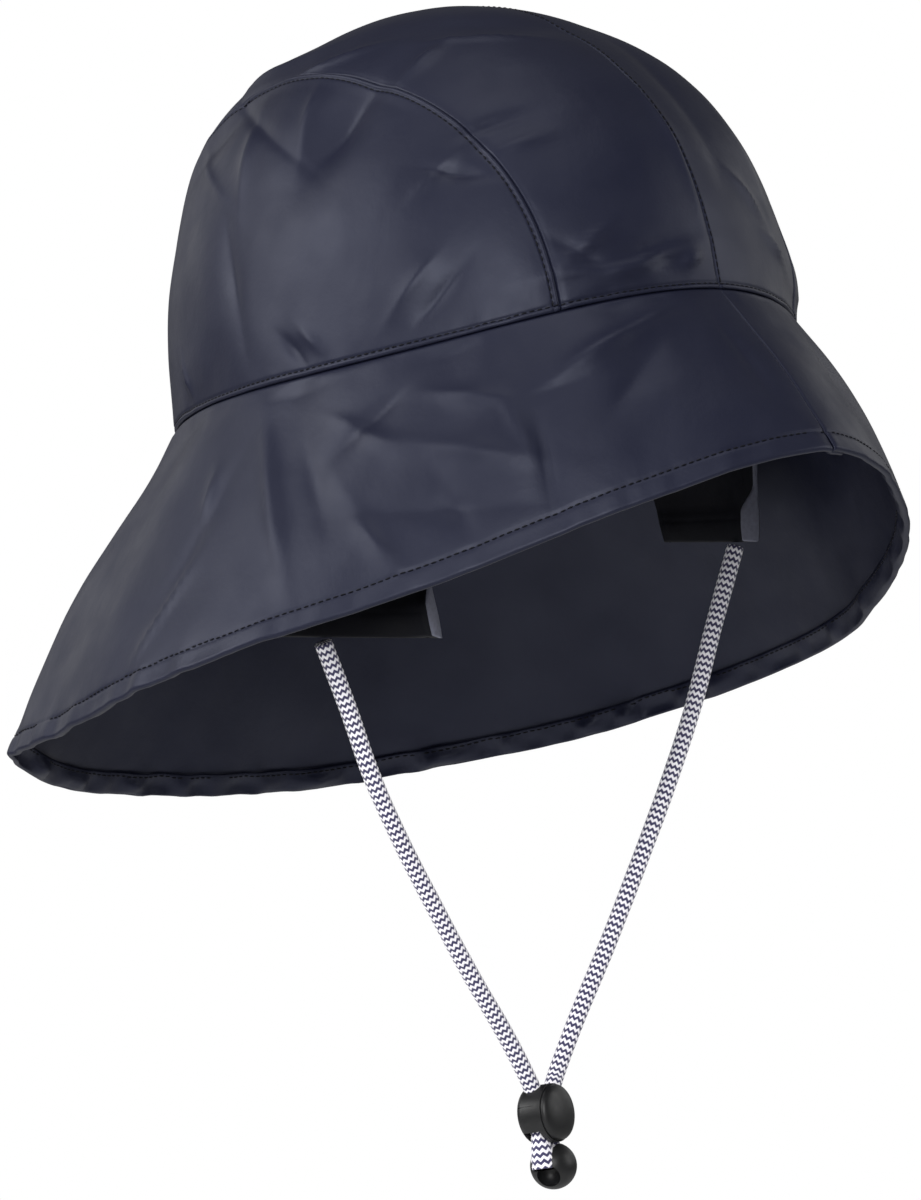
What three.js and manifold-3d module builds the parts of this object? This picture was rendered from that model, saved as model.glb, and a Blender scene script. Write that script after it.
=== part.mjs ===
// A sou'wester rain hat of coated fabric, tilted back as it is worn, with its chin cord hanging plumb.
// Front is -Y, the wearer's left is +X and up is +Z. The origin is the centre of the head opening,
// on the level of the seam between crown and brim. Lengths are in millimetres, angles in degrees.
import * as THREE from "three";
import Module from "manifold-3d";
import { mergeVertices } from "three/addons/utils/BufferGeometryUtils.js";

const wasm = await Module();
wasm.setup();

// The hat as a whole
const TILT = 12.7;            // the front is lifted by this turn about the ear-to-ear line
const HEAD_LENGTH = 200;      // head opening, front to back
const HEAD_WIDTH = 171.2;     // head opening, ear to ear
const CLOTH = 1.2;            // wall of the coated fabric with its turned seams
const SEAM_GAP = 0.3;         // between two panels at a seam

// The crown
const CROWN_HEIGHT = 114.5;
const CROWN_ROUND = 2.19;     // exponent of the crown's arch: 2 is an ellipse, more is fuller
const CROWN_BACK = 9.5;       // the highest point lies this far behind the middle
const ARC = 163;              // from the head opening up to the highest point, along the cloth
const SIDE_SEAM_OFF = 55;     // the side seam's greatest distance from the centre seam
const SIDE_SEAM_BOW = 7;      // it comes in by this, one SIDE_SEAM_RUN before or behind its middle
const SIDE_SEAM_RUN = 60;
const SIDE_SEAM_MIDDLE = -25;
const SEAM_STEPS = 24;        // steps along a side seam
const TOP_COLUMNS = 10;       // steps across a top panel

// Folds and swellings of the crown. azimuth: 0 front, 90 the wearer's left, -90 right.
// rise: 0 head opening, 1 highest point. lean: turn of the fold's line up from level.
// run and width: half its length and half its width. depth: inward, and outward where negative.
const CROWN_FOLDS = [
  { azimuth: -72, rise: 0.41, lean: 52, run: 20, width: 9, depth: 2.8 },
  { azimuth: -46, rise: 0.27, lean: 20, run: 17, width: 6, depth: 1.4 },
  { azimuth: -20, rise: 0.62, lean: -12, run: 24, width: 8, depth: 1.8 },
  { azimuth: 40, rise: 0.45, lean: 60, run: 34, width: 22, depth: -4.2 },
  { azimuth: -118, rise: 0.5, lean: 35, run: 20, width: 10, depth: 3.0 },
  { azimuth: 115, rise: 0.4, lean: 60, run: 26, width: 12, depth: 3.0 },
  { azimuth: -137, rise: 0.5, lean: 0, run: 30, width: 20, depth: -2.6 },
  { azimuth: -140, rise: 0.78, lean: 0, run: 30, width: 14, depth: 1.6 },
  { azimuth: 46, rise: 0.2, lean: 0, run: 36, width: 26, depth: -2.4 },
  { azimuth: 46, rise: 0.07, lean: 0, run: 30, width: 9, depth: -2.0 },
];

// The head opening's seam waves up and down by these, two and three times round the head.
const SEAM_WAVE_2 = 1.7;
const SEAM_WAVE_3 = 2.0;

// The brim, a row for each section round the head: flare is outward, drop is downward, from the seam.
// hollow: its slope dips by this at its middle, and swells where negative.
const BRIM_SECTIONS = [
  { azimuth: 0, flare: 33.1, drop: 55.7, hollow: -1.3 },
  { azimuth: 30, flare: 25.2, drop: 62.8, hollow: -2.7 },
  { azimuth: 60, flare: 24.7, drop: 72.2, hollow: -2.1 },
  { azimuth: 90, flare: 40.6, drop: 80.4, hollow: -0.4 },
  { azimuth: 120, flare: 51.6, drop: 88.9, hollow: -3.2 },
  { azimuth: 150, flare: 60.3, drop: 91.5, hollow: 0.2 },
  { azimuth: 180, flare: 49.7, drop: 93.2, hollow: 2.1 },
];
const HEM = 6.5;              // width of the turned hem at the rim
const HEM_WALL = 1.9;         // wall of the hem, two layers and a turning

// Soft waves of the brim. from and to: 0 seam, 1 rim. width: half, along the seam. depth: inward.
const BRIM_WAVES = [
  { azimuth: -118, from: 0.1, to: 0.8, width: 13, depth: 2.6 },
  { azimuth: -137, from: 0.1, to: 1.0, width: 22, depth: -7.3 },
  { azimuth: -84, from: 0.0, to: 0.5, width: 9, depth: 1.8 },
  { azimuth: -56, from: 0.0, to: 0.5, width: 9, depth: 1.6 },
  { azimuth: -24, from: 0.0, to: 0.55, width: 9, depth: 1.2 },
  { azimuth: 70, from: 0.3, to: 1.0, width: 16, depth: 1.6 },
  { azimuth: 128, from: 0.2, to: 1.0, width: 18, depth: 1.8 },
  { azimuth: 165, from: 0.3, to: 1.0, width: 18, depth: 1.2 },
];
const WAVE_RAMP = 0.6;        // a wave that reaches the rim is full from this share of its run

// The ear flaps
const FLAP_FRONT = 70;        // azimuth of the front edge
const FLAP_LEAN = 3;          // the front edge starts this many degrees further forward at its top
const FLAP_BACK = 101;        // azimuth of the back edge
const FLAP_CORD = { right: 87.2, left: 83.5 }; // azimuths at which the chin cord leaves
const FLAP_WALL = 1.4;
const FLAP_HEM = 7;           // height of the tunnel hem at the bottom
const FLAP_HEM_WALL = 2.6;
const FLAP_SEAT = 0.65;       // from the crown's inner face to the flap
const FLAP_TOP = 5;           // the flap is sewn in this far above the head opening
const FLAP_CURL = { right: 14.5, left: 11.6 };  // the front bottom corner turns in by this
const FLAP_OUT = 3.7;         // the rest of the bottom hangs out by this
const FLAP_DROP = { right: 74.6, left: 46.3 }; // the level bottoms lie this far under the origin

// The chin cord
const CORD = 5.2;             // diameter
const CORD_SIDES = 10;
const CORD_STEP = 8;          // one step along the cord
const CORD_GAP = 1.5;         // from the flap's hem to the middle of the cord's end, which is cut aslant
// The hanging stretch from flap to toggle: fall and reach are shares of its height and of its plan length.
const CORD_ROUTE = [
  { fall: 0.15, reach: 0.121 },
  { fall: 0.3, reach: 0.233 },
  { fall: 0.45, reach: 0.376 },
  { fall: 0.6, reach: 0.539 },
  { fall: 0.75, reach: 0.709 },
  { fall: 0.9, reach: 0.892 },
];
// The stretch in the toggle and on into the ball, a row for each point of the right and of the left
// strand: side is across the toggle, level is along the cord hole.
const CORD_IN_LOCK = {
  right: [
    { side: 4.8, level: 10.7 },
    { side: 3.2, level: 7.5 },
    { side: 2.85, level: 3.0 },
    { side: 2.8, level: -3.0 },
    { side: 2.8, level: -9.0 },
    { side: 2.8, level: -15.9 },
  ],
  left: [
    { side: 10.2, level: 10.7 },
    { side: 7.6, level: 7.5 },
    { side: 5.0, level: 3.9 },
    { side: 3.2, level: -0.6 },
    { side: 2.8, level: -5.0 },
    { side: 2.8, level: -15.9 },
  ],
};

// The toggle: a short drum with a push button at its front end
const LOCK_PLACE = [2.0, -22.0, -215.7]; // where the two strands are pinched, on the drum's axis
const LOCK_TURN = 12.8;       // the button looks forward and this much to the wearer's left
const LOCK_LIFT = 9.5;        // and this much upward
const DRUM = 17.4;            // diameter
const DRUM_FRONT = 4.9;       // from the pinch to the drum's front rim
const DRUM_BACK = 4.1;        // from the pinch to the drum's closed back
const DRUM_ROUND = 2.4;       // rounding of the closed back
const CUP = 16.8;             // diameter of the seat for the button
const CUP_DEEP = 2.0;
const CORD_HOLE = 5.7;        // along the drum's axis
const FUNNEL = [              // half the hole's width on either side: it widens upward for the strands
  { right: 9.2, left: 6.0, level: -9.2 },
  { right: 6.2, left: 5.9, level: -3.4 },
  { right: 6.4, left: 8.8, level: 3.4 },
  { right: 8.6, left: 13.8, level: 9.5 },
];
const BUTTON = 16.6;          // diameter
const BUTTON_SEATED = 0.35;   // it stands this deep in its seat at rest
const BUTTON_RIM = 0.6;       // its straight rim shows this much
const BUTTON_DOME = 2.8;      // height of the domed face over the rim

// The ball at the cord's end
const BALL = 13.9;            // diameter
const BALL_SIDE = 2.4;        // from the toggle's middle toward the wearer's left
const BALL_LEVEL = -15.45;    // below the pinch
const NOTCH = 5.9;            // width of the slot that takes both cord ends
const NOTCH_HALF = 5.9;       // half the length of the slot
const NOTCH_FLOOR = -16.4;
const MOUTH = 7.4;            // diameter of the hollow in which the right strand ends
const MOUTH_PLACE = [0.9, -1.8, -17.8];

const navy = { color: 0x2b2e3d, roughness: 0.42, metalness: 0 };
const black = { color: 0x232426, roughness: 0.38, metalness: 0 };
const braid = { color: 0xb9b6cf, roughness: 0.85, metalness: 0 };

const rad = THREE.MathUtils.degToRad;
const V = (x, y, z) => new THREE.Vector3(x, y, z);
const bell = (x) => Math.exp(-x * x);

// A point of the head opening's seam.
function seamPoint(azimuth) {
  const a = rad(azimuth);
  const wave = SEAM_WAVE_2 * Math.cos(2 * a) + SEAM_WAVE_3 * Math.cos(3 * a);
  return V((HEAD_WIDTH / 2) * Math.sin(a), (-HEAD_LENGTH / 2) * Math.cos(a), wave);
}

// The crown without folds: rise is 0 at the seam and 1 at the highest point.
function archPoint(azimuth, rise) {
  const foot = seamPoint(azimuth);
  const t = (Math.min(Math.max(rise, 0), 1) * Math.PI) / 2;
  const out = Math.pow(Math.max(Math.cos(t), 0), 2 / CROWN_ROUND);
  const up = Math.pow(Math.max(Math.sin(t), 0), 2 / CROWN_ROUND);
  return V(foot.x * out, foot.y * out + CROWN_BACK * up * up, foot.z * (1 - up) + CROWN_HEIGHT * up);
}

function normalOf(surface, u, v, du, dv) {
  const alongU = surface(u + du, v).sub(surface(u - du, v));
  const alongV = surface(u, v + dv).sub(surface(u, v - dv));
  return alongU.cross(alongV).normalize();
}

function crownNormal(azimuth, rise) {
  if (rise > 0.985) return V(0, 0, 1);
  const r = Math.max(rise, 0.012);
  return normalOf(archPoint, azimuth, r, 0.5, 0.01);
}

// Shortest way round from one azimuth to another.
const turn = (from, to) => ((((to - from) % 360) + 540) % 360) - 180;

function foldDepth(azimuth, rise) {
  const radius = (HEAD_LENGTH + HEAD_WIDTH) / 4;
  let sum = 0;
  for (const fold of CROWN_FOLDS) {
    const across = rad(turn(fold.azimuth, azimuth)) * radius * Math.cos((rise * Math.PI) / 2);
    const up = (rise - fold.rise) * ARC;
    const lean = rad(fold.lean);
    const along = across * Math.cos(lean) + up * Math.sin(lean);
    const beside = up * Math.cos(lean) - across * Math.sin(lean);
    sum += fold.depth * bell(along / fold.run) * bell(beside / fold.width);
  }
  return sum * Math.min(1, rise / 0.04);
}

// A point of the crown, inset from its outer face.
function crownPoint(azimuth, rise, inset) {
  const depth = foldDepth(azimuth, rise) + inset;
  return archPoint(azimuth, rise).addScaledVector(crownNormal(azimuth, rise), -depth);
}

// How far the side seam lies from the centre seam, at y.
const seamOff = (y) =>
  SIDE_SEAM_OFF - SIDE_SEAM_BOW * Math.pow((y - SIDE_SEAM_MIDDLE) / SIDE_SEAM_RUN, 2);

// The rise at which the side seam, moved out by shift, crosses an azimuth; 0 where it doesn't.
function seamRise(azimuth, shift) {
  const beyond = (rise) => {
    const p = archPoint(azimuth, rise);
    return Math.abs(p.x) - seamOff(p.y) - shift;
  };
  if (beyond(0) <= 0) return 0;
  let low = 0;
  let high = 1;
  for (let i = 0; i < 40; i++) {
    const middle = (low + high) / 2;
    if (beyond(middle) > 0) low = middle;
    else high = middle;
  }
  return low;
}

// The azimuth at which the side seam, moved out by shift, meets the head opening,
// between an azimuth inside the side panel and one outside.
function seamFoot(inside, outside, shift) {
  let a = inside;
  let b = outside;
  for (let i = 0; i < 40; i++) {
    const middle = (a + b) / 2;
    if (seamRise(middle, shift) > 0) a = middle;
    else b = middle;
  }
  return a;
}

// A closed wall from a grid of outer points and the same grid of inner points.
function wallGeometry(outer, inner) {
  const rows = outer.length;
  const cols = outer[0].length;
  const position = [];
  const keys = new Map();
  const id = (p) => {
    const key = p.toArray().map((c) => Math.round(c * 2000)).join();
    if (!keys.has(key)) {
      keys.set(key, position.length / 3);
      position.push(p.x, p.y, p.z);
    }
    return keys.get(key);
  };
  const a = outer.map((row) => row.map(id));
  const b = inner.map((row) => row.map(id));
  const index = [];
  const triangle = (p, q, r) => {
    if (p !== q && q !== r && r !== p) index.push(p, q, r);
  };
  const quad = (p, q, r, s) => {
    triangle(p, q, r);
    triangle(p, r, s);
  };
  for (let i = 0; i + 1 < rows; i++) {
    for (let j = 0; j + 1 < cols; j++) {
      quad(a[i][j], a[i + 1][j], a[i + 1][j + 1], a[i][j + 1]);
      quad(b[i][j], b[i][j + 1], b[i + 1][j + 1], b[i + 1][j]);
    }
  }
  const last = cols - 1;
  for (let i = 0; i + 1 < rows; i++) {
    quad(a[i][0], b[i][0], b[i + 1][0], a[i + 1][0]);
    quad(a[i][last], a[i + 1][last], b[i + 1][last], b[i][last]);
  }
  for (let j = 0; j + 1 < cols; j++) {
    quad(a[0][j], a[0][j + 1], b[0][j + 1], b[0][j]);
    quad(a[rows - 1][j], b[rows - 1][j], b[rows - 1][j + 1], a[rows - 1][j + 1]);
  }
  let volume = 0;
  const point = (k) => V().fromArray(position, 3 * k);
  for (let k = 0; k < index.length; k += 3)
    volume += point(index[k]).dot(point(index[k + 1]).cross(point(index[k + 2])));
  if (volume < 0) index.reverse();
  const geometry = new THREE.BufferGeometry();
  geometry.setAttribute("position", new THREE.Float32BufferAttribute(position, 3));
  geometry.setIndex(index);
  geometry.computeVertexNormals();
  return geometry;
}

function grid(rows, cols, at) {
  const make = (inside) =>
    Array.from({ length: rows + 1 }, (_, i) =>
      Array.from({ length: cols + 1 }, (_, j) => at(i / rows, j / cols, inside)));
  return wallGeometry(make(false), make(true));
}

const lerp = THREE.MathUtils.lerp;

// Azimuths along the side seam, closer together toward its two feet, which both panels share.
const SEAM_AZIMUTHS = Array.from({ length: SEAM_STEPS + 1 }, (_, i) => {
  const ease = 0.5 - 0.5 * Math.cos((Math.PI * i) / SEAM_STEPS);
  return lerp(seamFoot(90, 0, 0), seamFoot(90, 180, 0), ease);
});
const EDGE_RISE = 0.0012;     // the panels stand this little above the head opening

// The crown spread flat on a disc: the highest point in its middle, the head opening at its rim.
const toDisc = (azimuth, rise) =>
  new THREE.Vector2(Math.sin(rad(azimuth)), -Math.cos(rad(azimuth))).multiplyScalar(1 - rise);

// A top panel: from the centre seam across to the side seam, from the head opening in front to behind.
function topPanel(side) {
  const shift = -SEAM_GAP / 2;
  const front = seamFoot(90, 0, shift);
  const back = seamFoot(90, 180, shift);
  const edge = [
    toDisc(front, EDGE_RISE),
    ...SEAM_AZIMUTHS.map((azimuth) => toDisc(azimuth, seamRise(azimuth, shift))),
    toDisc(back, EDGE_RISE),
  ];
  const last = edge.length - 1;
  return grid(last, TOP_COLUMNS, (u, v, inside) => {
    const i = Math.round(u * last);
    const level = (edge[i].y - edge[0].y) / (edge[last].y - edge[0].y);
    const middle = new THREE.Vector2(0, lerp(-1, 1, level) * (1 - EDGE_RISE));
    const q = middle.lerp(edge[i], v);
    for (const [foot, end, weight] of [[front, 0, (1 - level) ** 4], [back, 180, level ** 4]]) {
      const chord = toDisc(end, EDGE_RISE).lerp(toDisc(foot, EDGE_RISE), v);
      q.add(toDisc(lerp(end, foot, v), EDGE_RISE).sub(chord).multiplyScalar(weight));
    }
    const azimuth = THREE.MathUtils.radToDeg(Math.atan2(q.x, -q.y));
    const p = crownPoint(side * azimuth, 1 - q.length(), inside ? CLOTH : 0);
    p.x = side * Math.max(side * p.x, SEAM_GAP / 2);
    return p;
  });
}

// A side panel: a D of cloth between the head opening and the curved side seam.
function sidePanel(side) {
  return grid(SEAM_STEPS, 7, (u, v, inside) => {
    const azimuth = SEAM_AZIMUTHS[Math.round(u * SEAM_STEPS)];
    const top = seamRise(azimuth, SEAM_GAP / 2);
    return crownPoint(side * azimuth, lerp(Math.min(EDGE_RISE, top), top, v), inside ? CLOTH : 0);
  });
}

// Flare and drop of the brim at an azimuth, by a smooth curve through the sections.
const sectionCurve = (column) => {
  const s = BRIM_SECTIONS;
  return (azimuth) => {
    const a = Math.abs(turn(0, azimuth)) / 30;
    const k = Math.min(Math.floor(a), s.length - 2);
    const at = (i) => s[i < 0 ? -i : i >= s.length ? 2 * (s.length - 1) - i : i][column];
    const t = a - k;
    const m0 = (at(k + 1) - at(k - 1)) / 2;
    const m1 = (at(k + 2) - at(k)) / 2;
    const h = t * t * (3 - 2 * t);
    return lerp(at(k), at(k + 1), h) + m0 * t * (1 - t) * (1 - t) - m1 * t * t * (1 - t);
  };
};
const flareAt = sectionCurve("flare");
const dropAt = sectionCurve("drop");
const hollowAt = sectionCurve("hollow");

// The brim's outer face without waves: down is 0 at the seam and 1 at the rim.
function slopePoint(azimuth, down) {
  const a = rad(azimuth);
  const out = flareAt(azimuth) * down;
  const p = seamPoint(azimuth).add(V(out * Math.sin(a), -out * Math.cos(a), -dropAt(azimuth) * down));
  const hollow = hollowAt(azimuth) * 4 * down * (1 - down);
  return p.add(V(-hollow * Math.sin(a), hollow * Math.cos(a), -hollow * 0.5));
}

const slopeNormal = (azimuth, down) => normalOf(slopePoint, azimuth, down, 0.5, -0.01);

function waveDepth(azimuth, down) {
  const radius = (HEAD_LENGTH + HEAD_WIDTH) / 4;
  let sum = 0;
  for (const wave of BRIM_WAVES) {
    const share = (down - wave.from) / (wave.to - wave.from);
    if (share <= 0) continue;
    const grown = Math.min(share / WAVE_RAMP, 1);
    const length = wave.to >= 1 ? grown * grown * (3 - 2 * grown) : Math.max(0, 1 - share);
    const rise = Math.min(1, down / 0.06);
    const across = rad(turn(wave.azimuth, azimuth)) * radius * (1 + 0.5 * down);
    sum += wave.depth * bell(across / wave.width) * length * rise;
  }
  return sum;
}

function brimPoint(azimuth, down, inset) {
  return slopePoint(azimuth, down).addScaledVector(
    slopeNormal(azimuth, down), -(waveDepth(azimuth, down) + inset));
}

// The brim, from its front seam round the back to the front seam again, with its hem.
function brimGeometry() {
  const rows = [0.0025, 0.12, 0.25, 0.39, 0.53, 0.67, 0.8];
  return grid(72, 10, (u, v, inside) => {
    const azimuth = 360 * u;
    const slant = Math.hypot(flareAt(azimuth), dropAt(azimuth));
    const hem = 1 - HEM / slant;
    const all = [...rows, hem - 0.008, hem + 0.008, 1 - 0.8 / slant, 1];
    const j = Math.round(v * 10);
    const wall = [CLOTH, HEM_WALL, HEM_WALL, 1.4][Math.max(0, j - 7)];
    const p = brimPoint(azimuth, all[j], inside ? wall : j === 10 ? 0.5 : 0);
    if (azimuth < 90) p.x = Math.max(p.x, SEAM_GAP / 2);
    if (azimuth > 270) p.x = Math.min(p.x, -SEAM_GAP / 2);
    return p;
  });
}

const tilt = rad(TILT);
// From the hat's own frame to the part's.
const place = (p) => p.applyAxisAngle(V(1, 0, 0), -tilt);

// An ear flap: sewn in at the head opening, its bottom level, its front bottom corner turned in.
function flapPoint(name, azimuth, down, inset) {
  const side = name === "left" ? 1 : -1;
  const forward = FLAP_LEAN * (1 - down) * (FLAP_BACK - azimuth) / (FLAP_BACK - FLAP_FRONT);
  const foot = seamPoint(side * (azimuth - forward));
  const away = V(foot.x / Math.pow(HEAD_WIDTH, 2), foot.y / Math.pow(HEAD_LENGTH, 2), 0).normalize();
  const share = (azimuth - FLAP_FRONT) / (FLAP_BACK - FLAP_FRONT);
  const bottom = (-FLAP_DROP[name] + Math.sin(tilt) * foot.y) / Math.cos(tilt);
  const z = lerp(foot.z + FLAP_TOP, bottom, down);
  const hang = Math.max(0, (foot.z - z) / (foot.z - bottom));
  const out = (FLAP_OUT - FLAP_CURL[name] * Math.pow(1 - share, 4)) * hang;
  const p = V(foot.x + side * out, foot.y, z);
  return p.addScaledVector(away, -(CLOTH + FLAP_SEAT + inset) * (1 + 0.4 * (1 - hang) * (z < foot.z)));
}

function flapGeometry(name) {
  return grid(12, 8, (u, v, inside) => {
    const azimuth = lerp(FLAP_FRONT, FLAP_BACK, u);
    const height = FLAP_TOP + FLAP_DROP[name];
    const hem = 1 - FLAP_HEM / height;
    const rows = [0, FLAP_TOP / height, 0.3, 0.55, 0.8, hem - 0.01, hem + 0.015, 0.985, 1];
    const j = Math.round(v * 8);
    const spread = (FLAP_HEM_WALL - FLAP_WALL) / 2;
    const swell = [0, 0, 0, 0, 0, 0, spread, spread, spread * 0.4][j];
    return flapPoint(name, azimuth, rows[j], inside ? FLAP_WALL + swell : -swell);
  });
}

// The toggle's own frame: x along the drum toward the button, y across it, z along the cord hole.
const lockFrame = new THREE.Group();
lockFrame.position.fromArray(LOCK_PLACE);
lockFrame.rotation.set(0, -rad(LOCK_LIFT), rad(LOCK_TURN - 90), "ZYX");
lockFrame.updateMatrix();
const fromLock = (x, y, z) => V(x, y, z).applyMatrix4(lockFrame.matrix);

function cordGeometry(name) {
  const side = name === "left" ? 1 : -1;
  const start = place(flapPoint(name, FLAP_CORD[name], 1, FLAP_WALL / 2));
  start.z -= CORD_GAP;
  const inLock = CORD_IN_LOCK[name].map((row) => fromLock(0, side * row.side, row.level));
  const end = inLock[0];
  const hanging = CORD_ROUTE.map((row) =>
    V(lerp(start.x, end.x, row.reach), lerp(start.y, end.y, row.reach), lerp(start.z, end.z, row.fall)));
  const path = new THREE.CatmullRomCurve3([start, ...hanging, ...inLock], false, "centripetal");
  const section = new THREE.Shape();
  for (let k = 0; k < CORD_SIDES; k++) {
    const a = (2 * Math.PI * k) / CORD_SIDES;
    const corner = [(CORD / 2) * Math.cos(a), (CORD / 2) * Math.sin(a)];
    if (k) section.lineTo(...corner);
    else section.moveTo(...corner);
  }
  section.closePath();
  return new THREE.ExtrudeGeometry(section, {
    extrudePath: path,
    steps: Math.round(path.getLength() / CORD_STEP),
  });
}

function toSolid(geometry) {
  const plain = geometry.clone();
  plain.deleteAttribute("normal");
  plain.deleteAttribute("uv");
  const merged = mergeVertices(plain, 1e-4);
  return new wasm.Manifold(new wasm.Mesh({
    numProp: 3,
    vertProperties: merged.attributes.position.array,
    triVerts: new Uint32Array(merged.index.array),
  }));
}

function fromSolid(solid) {
  const mesh = solid.getMesh();
  const geometry = new THREE.BufferGeometry();
  geometry.setAttribute("position", new THREE.BufferAttribute(mesh.vertProperties, 3));
  geometry.setIndex(new THREE.BufferAttribute(mesh.triVerts, 1));
  geometry.computeVertexNormals();
  return geometry;
}

// A body turned about the drum's axis, from rows of radius and place along the axis.
function turned(rows, segments) {
  const points = rows.map(([radius, along]) => new THREE.Vector2(radius, along));
  return new THREE.LatheGeometry(points, segments).rotateZ(-Math.PI / 2);
}

function drumGeometry() {
  const rows = [[0, -DRUM_BACK]];
  for (let k = 0; k <= 4; k++) {
    const a = (k / 4) * (Math.PI / 2);
    rows.push([
      DRUM / 2 - DRUM_ROUND * (1 - Math.sin(a)),
      -DRUM_BACK + DRUM_ROUND * (1 - Math.cos(a)),
    ]);
  }
  rows.push([DRUM / 2, DRUM_FRONT - 0.5], [DRUM / 2 - 0.25, DRUM_FRONT]);
  rows.push([CUP / 2, DRUM_FRONT], [CUP / 2, DRUM_FRONT - CUP_DEEP], [0, DRUM_FRONT - CUP_DEEP]);
  const hole = new THREE.Shape();
  hole.moveTo(-FUNNEL[0].right, -DRUM);
  hole.lineTo(FUNNEL[0].left, -DRUM);
  for (const row of FUNNEL) hole.lineTo(row.left, row.level);
  for (const row of [...FUNNEL].reverse()) hole.lineTo(-row.right, row.level);
  hole.closePath();
  const cut = new THREE.ExtrudeGeometry(hole, { depth: CORD_HOLE, bevelEnabled: false });
  cut.translate(0, 0, -CORD_HOLE / 2);
  cut.applyMatrix4(new THREE.Matrix4().makeBasis(V(0, 1, 0), V(0, 0, 1), V(1, 0, 0)));
  return fromSolid(toSolid(turned(rows, 36)).subtract(toSolid(cut)));
}

function buttonGeometry() {
  const back = DRUM_FRONT - BUTTON_SEATED;
  const rim = DRUM_FRONT + BUTTON_RIM;
  const rows = [[0, back], [BUTTON / 2 - 0.3, back], [BUTTON / 2, back + 0.3], [BUTTON / 2, rim]];
  for (let k = 1; k <= 6; k++) {
    const a = (k / 6) * (Math.PI / 2);
    rows.push([(BUTTON / 2) * Math.cos(a), rim + BUTTON_DOME * Math.sin(a)]);
  }
  rows[rows.length - 1][0] = 0;
  return turned(rows, 36);
}

function ballGeometry() {
  const ball = new THREE.SphereGeometry(BALL / 2, 28, 18).translate(0, BALL_SIDE, BALL_LEVEL);
  const half = NOTCH_HALF - NOTCH / 2;
  const slot = new THREE.Shape();
  slot.absarc(0, half, NOTCH / 2, 0, Math.PI, false);
  slot.absarc(0, -half, NOTCH / 2, Math.PI, 2 * Math.PI, false);
  slot.closePath();
  const cut = new THREE.ExtrudeGeometry(slot, { depth: 20, bevelEnabled: false, curveSegments: 8 });
  cut.translate(0, 0, NOTCH_FLOOR);
  const mouth = new THREE.SphereGeometry(MOUTH / 2, 20, 14).translate(...MOUTH_PLACE);
  return fromSolid(toSolid(ball).subtract(toSolid(cut)).subtract(toSolid(mouth)));
}

const group = new THREE.Group();
const hat = new THREE.Group();
hat.rotation.x = -tilt;
group.add(hat, lockFrame);

function add(parent, name, geometry, look) {
  const mesh = new THREE.Mesh(geometry, new THREE.MeshStandardMaterial(look));
  mesh.name = name;
  parent.add(mesh);
}

for (const [name, side] of [["right", -1], ["left", 1]]) {
  add(hat, "crown_top_" + name, topPanel(side), navy);
  add(hat, "crown_side_" + name, sidePanel(side), navy);
  add(hat, "ear_flap_" + name, flapGeometry(name), navy);
  add(group, "chin_cord_" + name, cordGeometry(name), braid);
}
add(hat, "brim", brimGeometry(), navy);
add(lockFrame, "cord_lock_body", drumGeometry(), black);
add(lockFrame, "cord_lock_button", buttonGeometry(), black);
add(lockFrame, "cord_end_ball", ballGeometry(), black);

export default group;
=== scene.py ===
"""A sou'wester rain hat of coated fabric with a braided chin cord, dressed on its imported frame.

Front is -Y, the wearer's left is +X and up is +Z. Lengths are in metres and azimuths in degrees:
0 is the front, 90 the wearer's left and -90 the right. A rise is 0 at the head opening and 1 at the
crown's highest point. The cloth is worked out in the hat's own frame and then tilted back.
"""
import itertools
import math
from contextlib import contextmanager

import bmesh
import bpy
import numpy as np
from bpy.props import FloatProperty, FloatVectorProperty, IntProperty, PointerProperty
from bpy.types import Operator, Panel, PropertyGroup
from mathutils import Matrix, Vector
from mathutils.bvhtree import BVHTree
from mathutils.kdtree import KDTree


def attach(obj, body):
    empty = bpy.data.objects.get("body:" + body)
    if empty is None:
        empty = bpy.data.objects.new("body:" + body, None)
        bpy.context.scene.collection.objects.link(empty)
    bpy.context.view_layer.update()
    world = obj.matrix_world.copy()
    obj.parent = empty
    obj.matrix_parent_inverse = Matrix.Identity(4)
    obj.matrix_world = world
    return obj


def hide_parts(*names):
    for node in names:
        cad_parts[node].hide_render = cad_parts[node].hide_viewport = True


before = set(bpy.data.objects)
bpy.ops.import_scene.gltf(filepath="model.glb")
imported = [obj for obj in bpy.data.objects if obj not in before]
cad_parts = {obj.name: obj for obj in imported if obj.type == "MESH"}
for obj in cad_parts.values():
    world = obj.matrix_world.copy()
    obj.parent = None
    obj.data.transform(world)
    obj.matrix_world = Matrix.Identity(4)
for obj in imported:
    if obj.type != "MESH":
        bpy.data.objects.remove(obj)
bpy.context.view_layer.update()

bl_info = {
    "name": "Rain hat",
    "version": (1, 0, 0),
    "blender": (4, 5, 0),
    "location": "View3D > Sidebar > Rain hat",
    "description": "Builds a sou'wester of coated fabric with its chin cord and toggle",
    "category": "Object",
}

SIDES = (("right", -1), ("left", 1))

# The hat as a whole
TILT = math.radians(12.7)
HEAD_LENGTH = 0.200
HEAD_WIDTH = 0.1712
HEAD_RADIUS = (HEAD_LENGTH + HEAD_WIDTH) / 4

# The crown: its height, how square its arch is, how far back its top lies, and its length from the head
# opening to the top
CROWN_HEIGHT = 0.1145
CROWN_ROUND = 2.19
CROWN_BACK = 0.0095
ARC = 0.163
# The side seam: how far from the middle plane it runs, how far it bows in over some run from its middle
SIDE_SEAM_OFF = 0.055
SIDE_SEAM_BOW = 0.007
SIDE_SEAM_RUN = 0.060
SIDE_SEAM_MIDDLE = -0.025
# Waves of the head opening, twice and three times round
SEAM_WAVE_2 = 0.0017
SEAM_WAVE_3 = 0.0020

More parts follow.
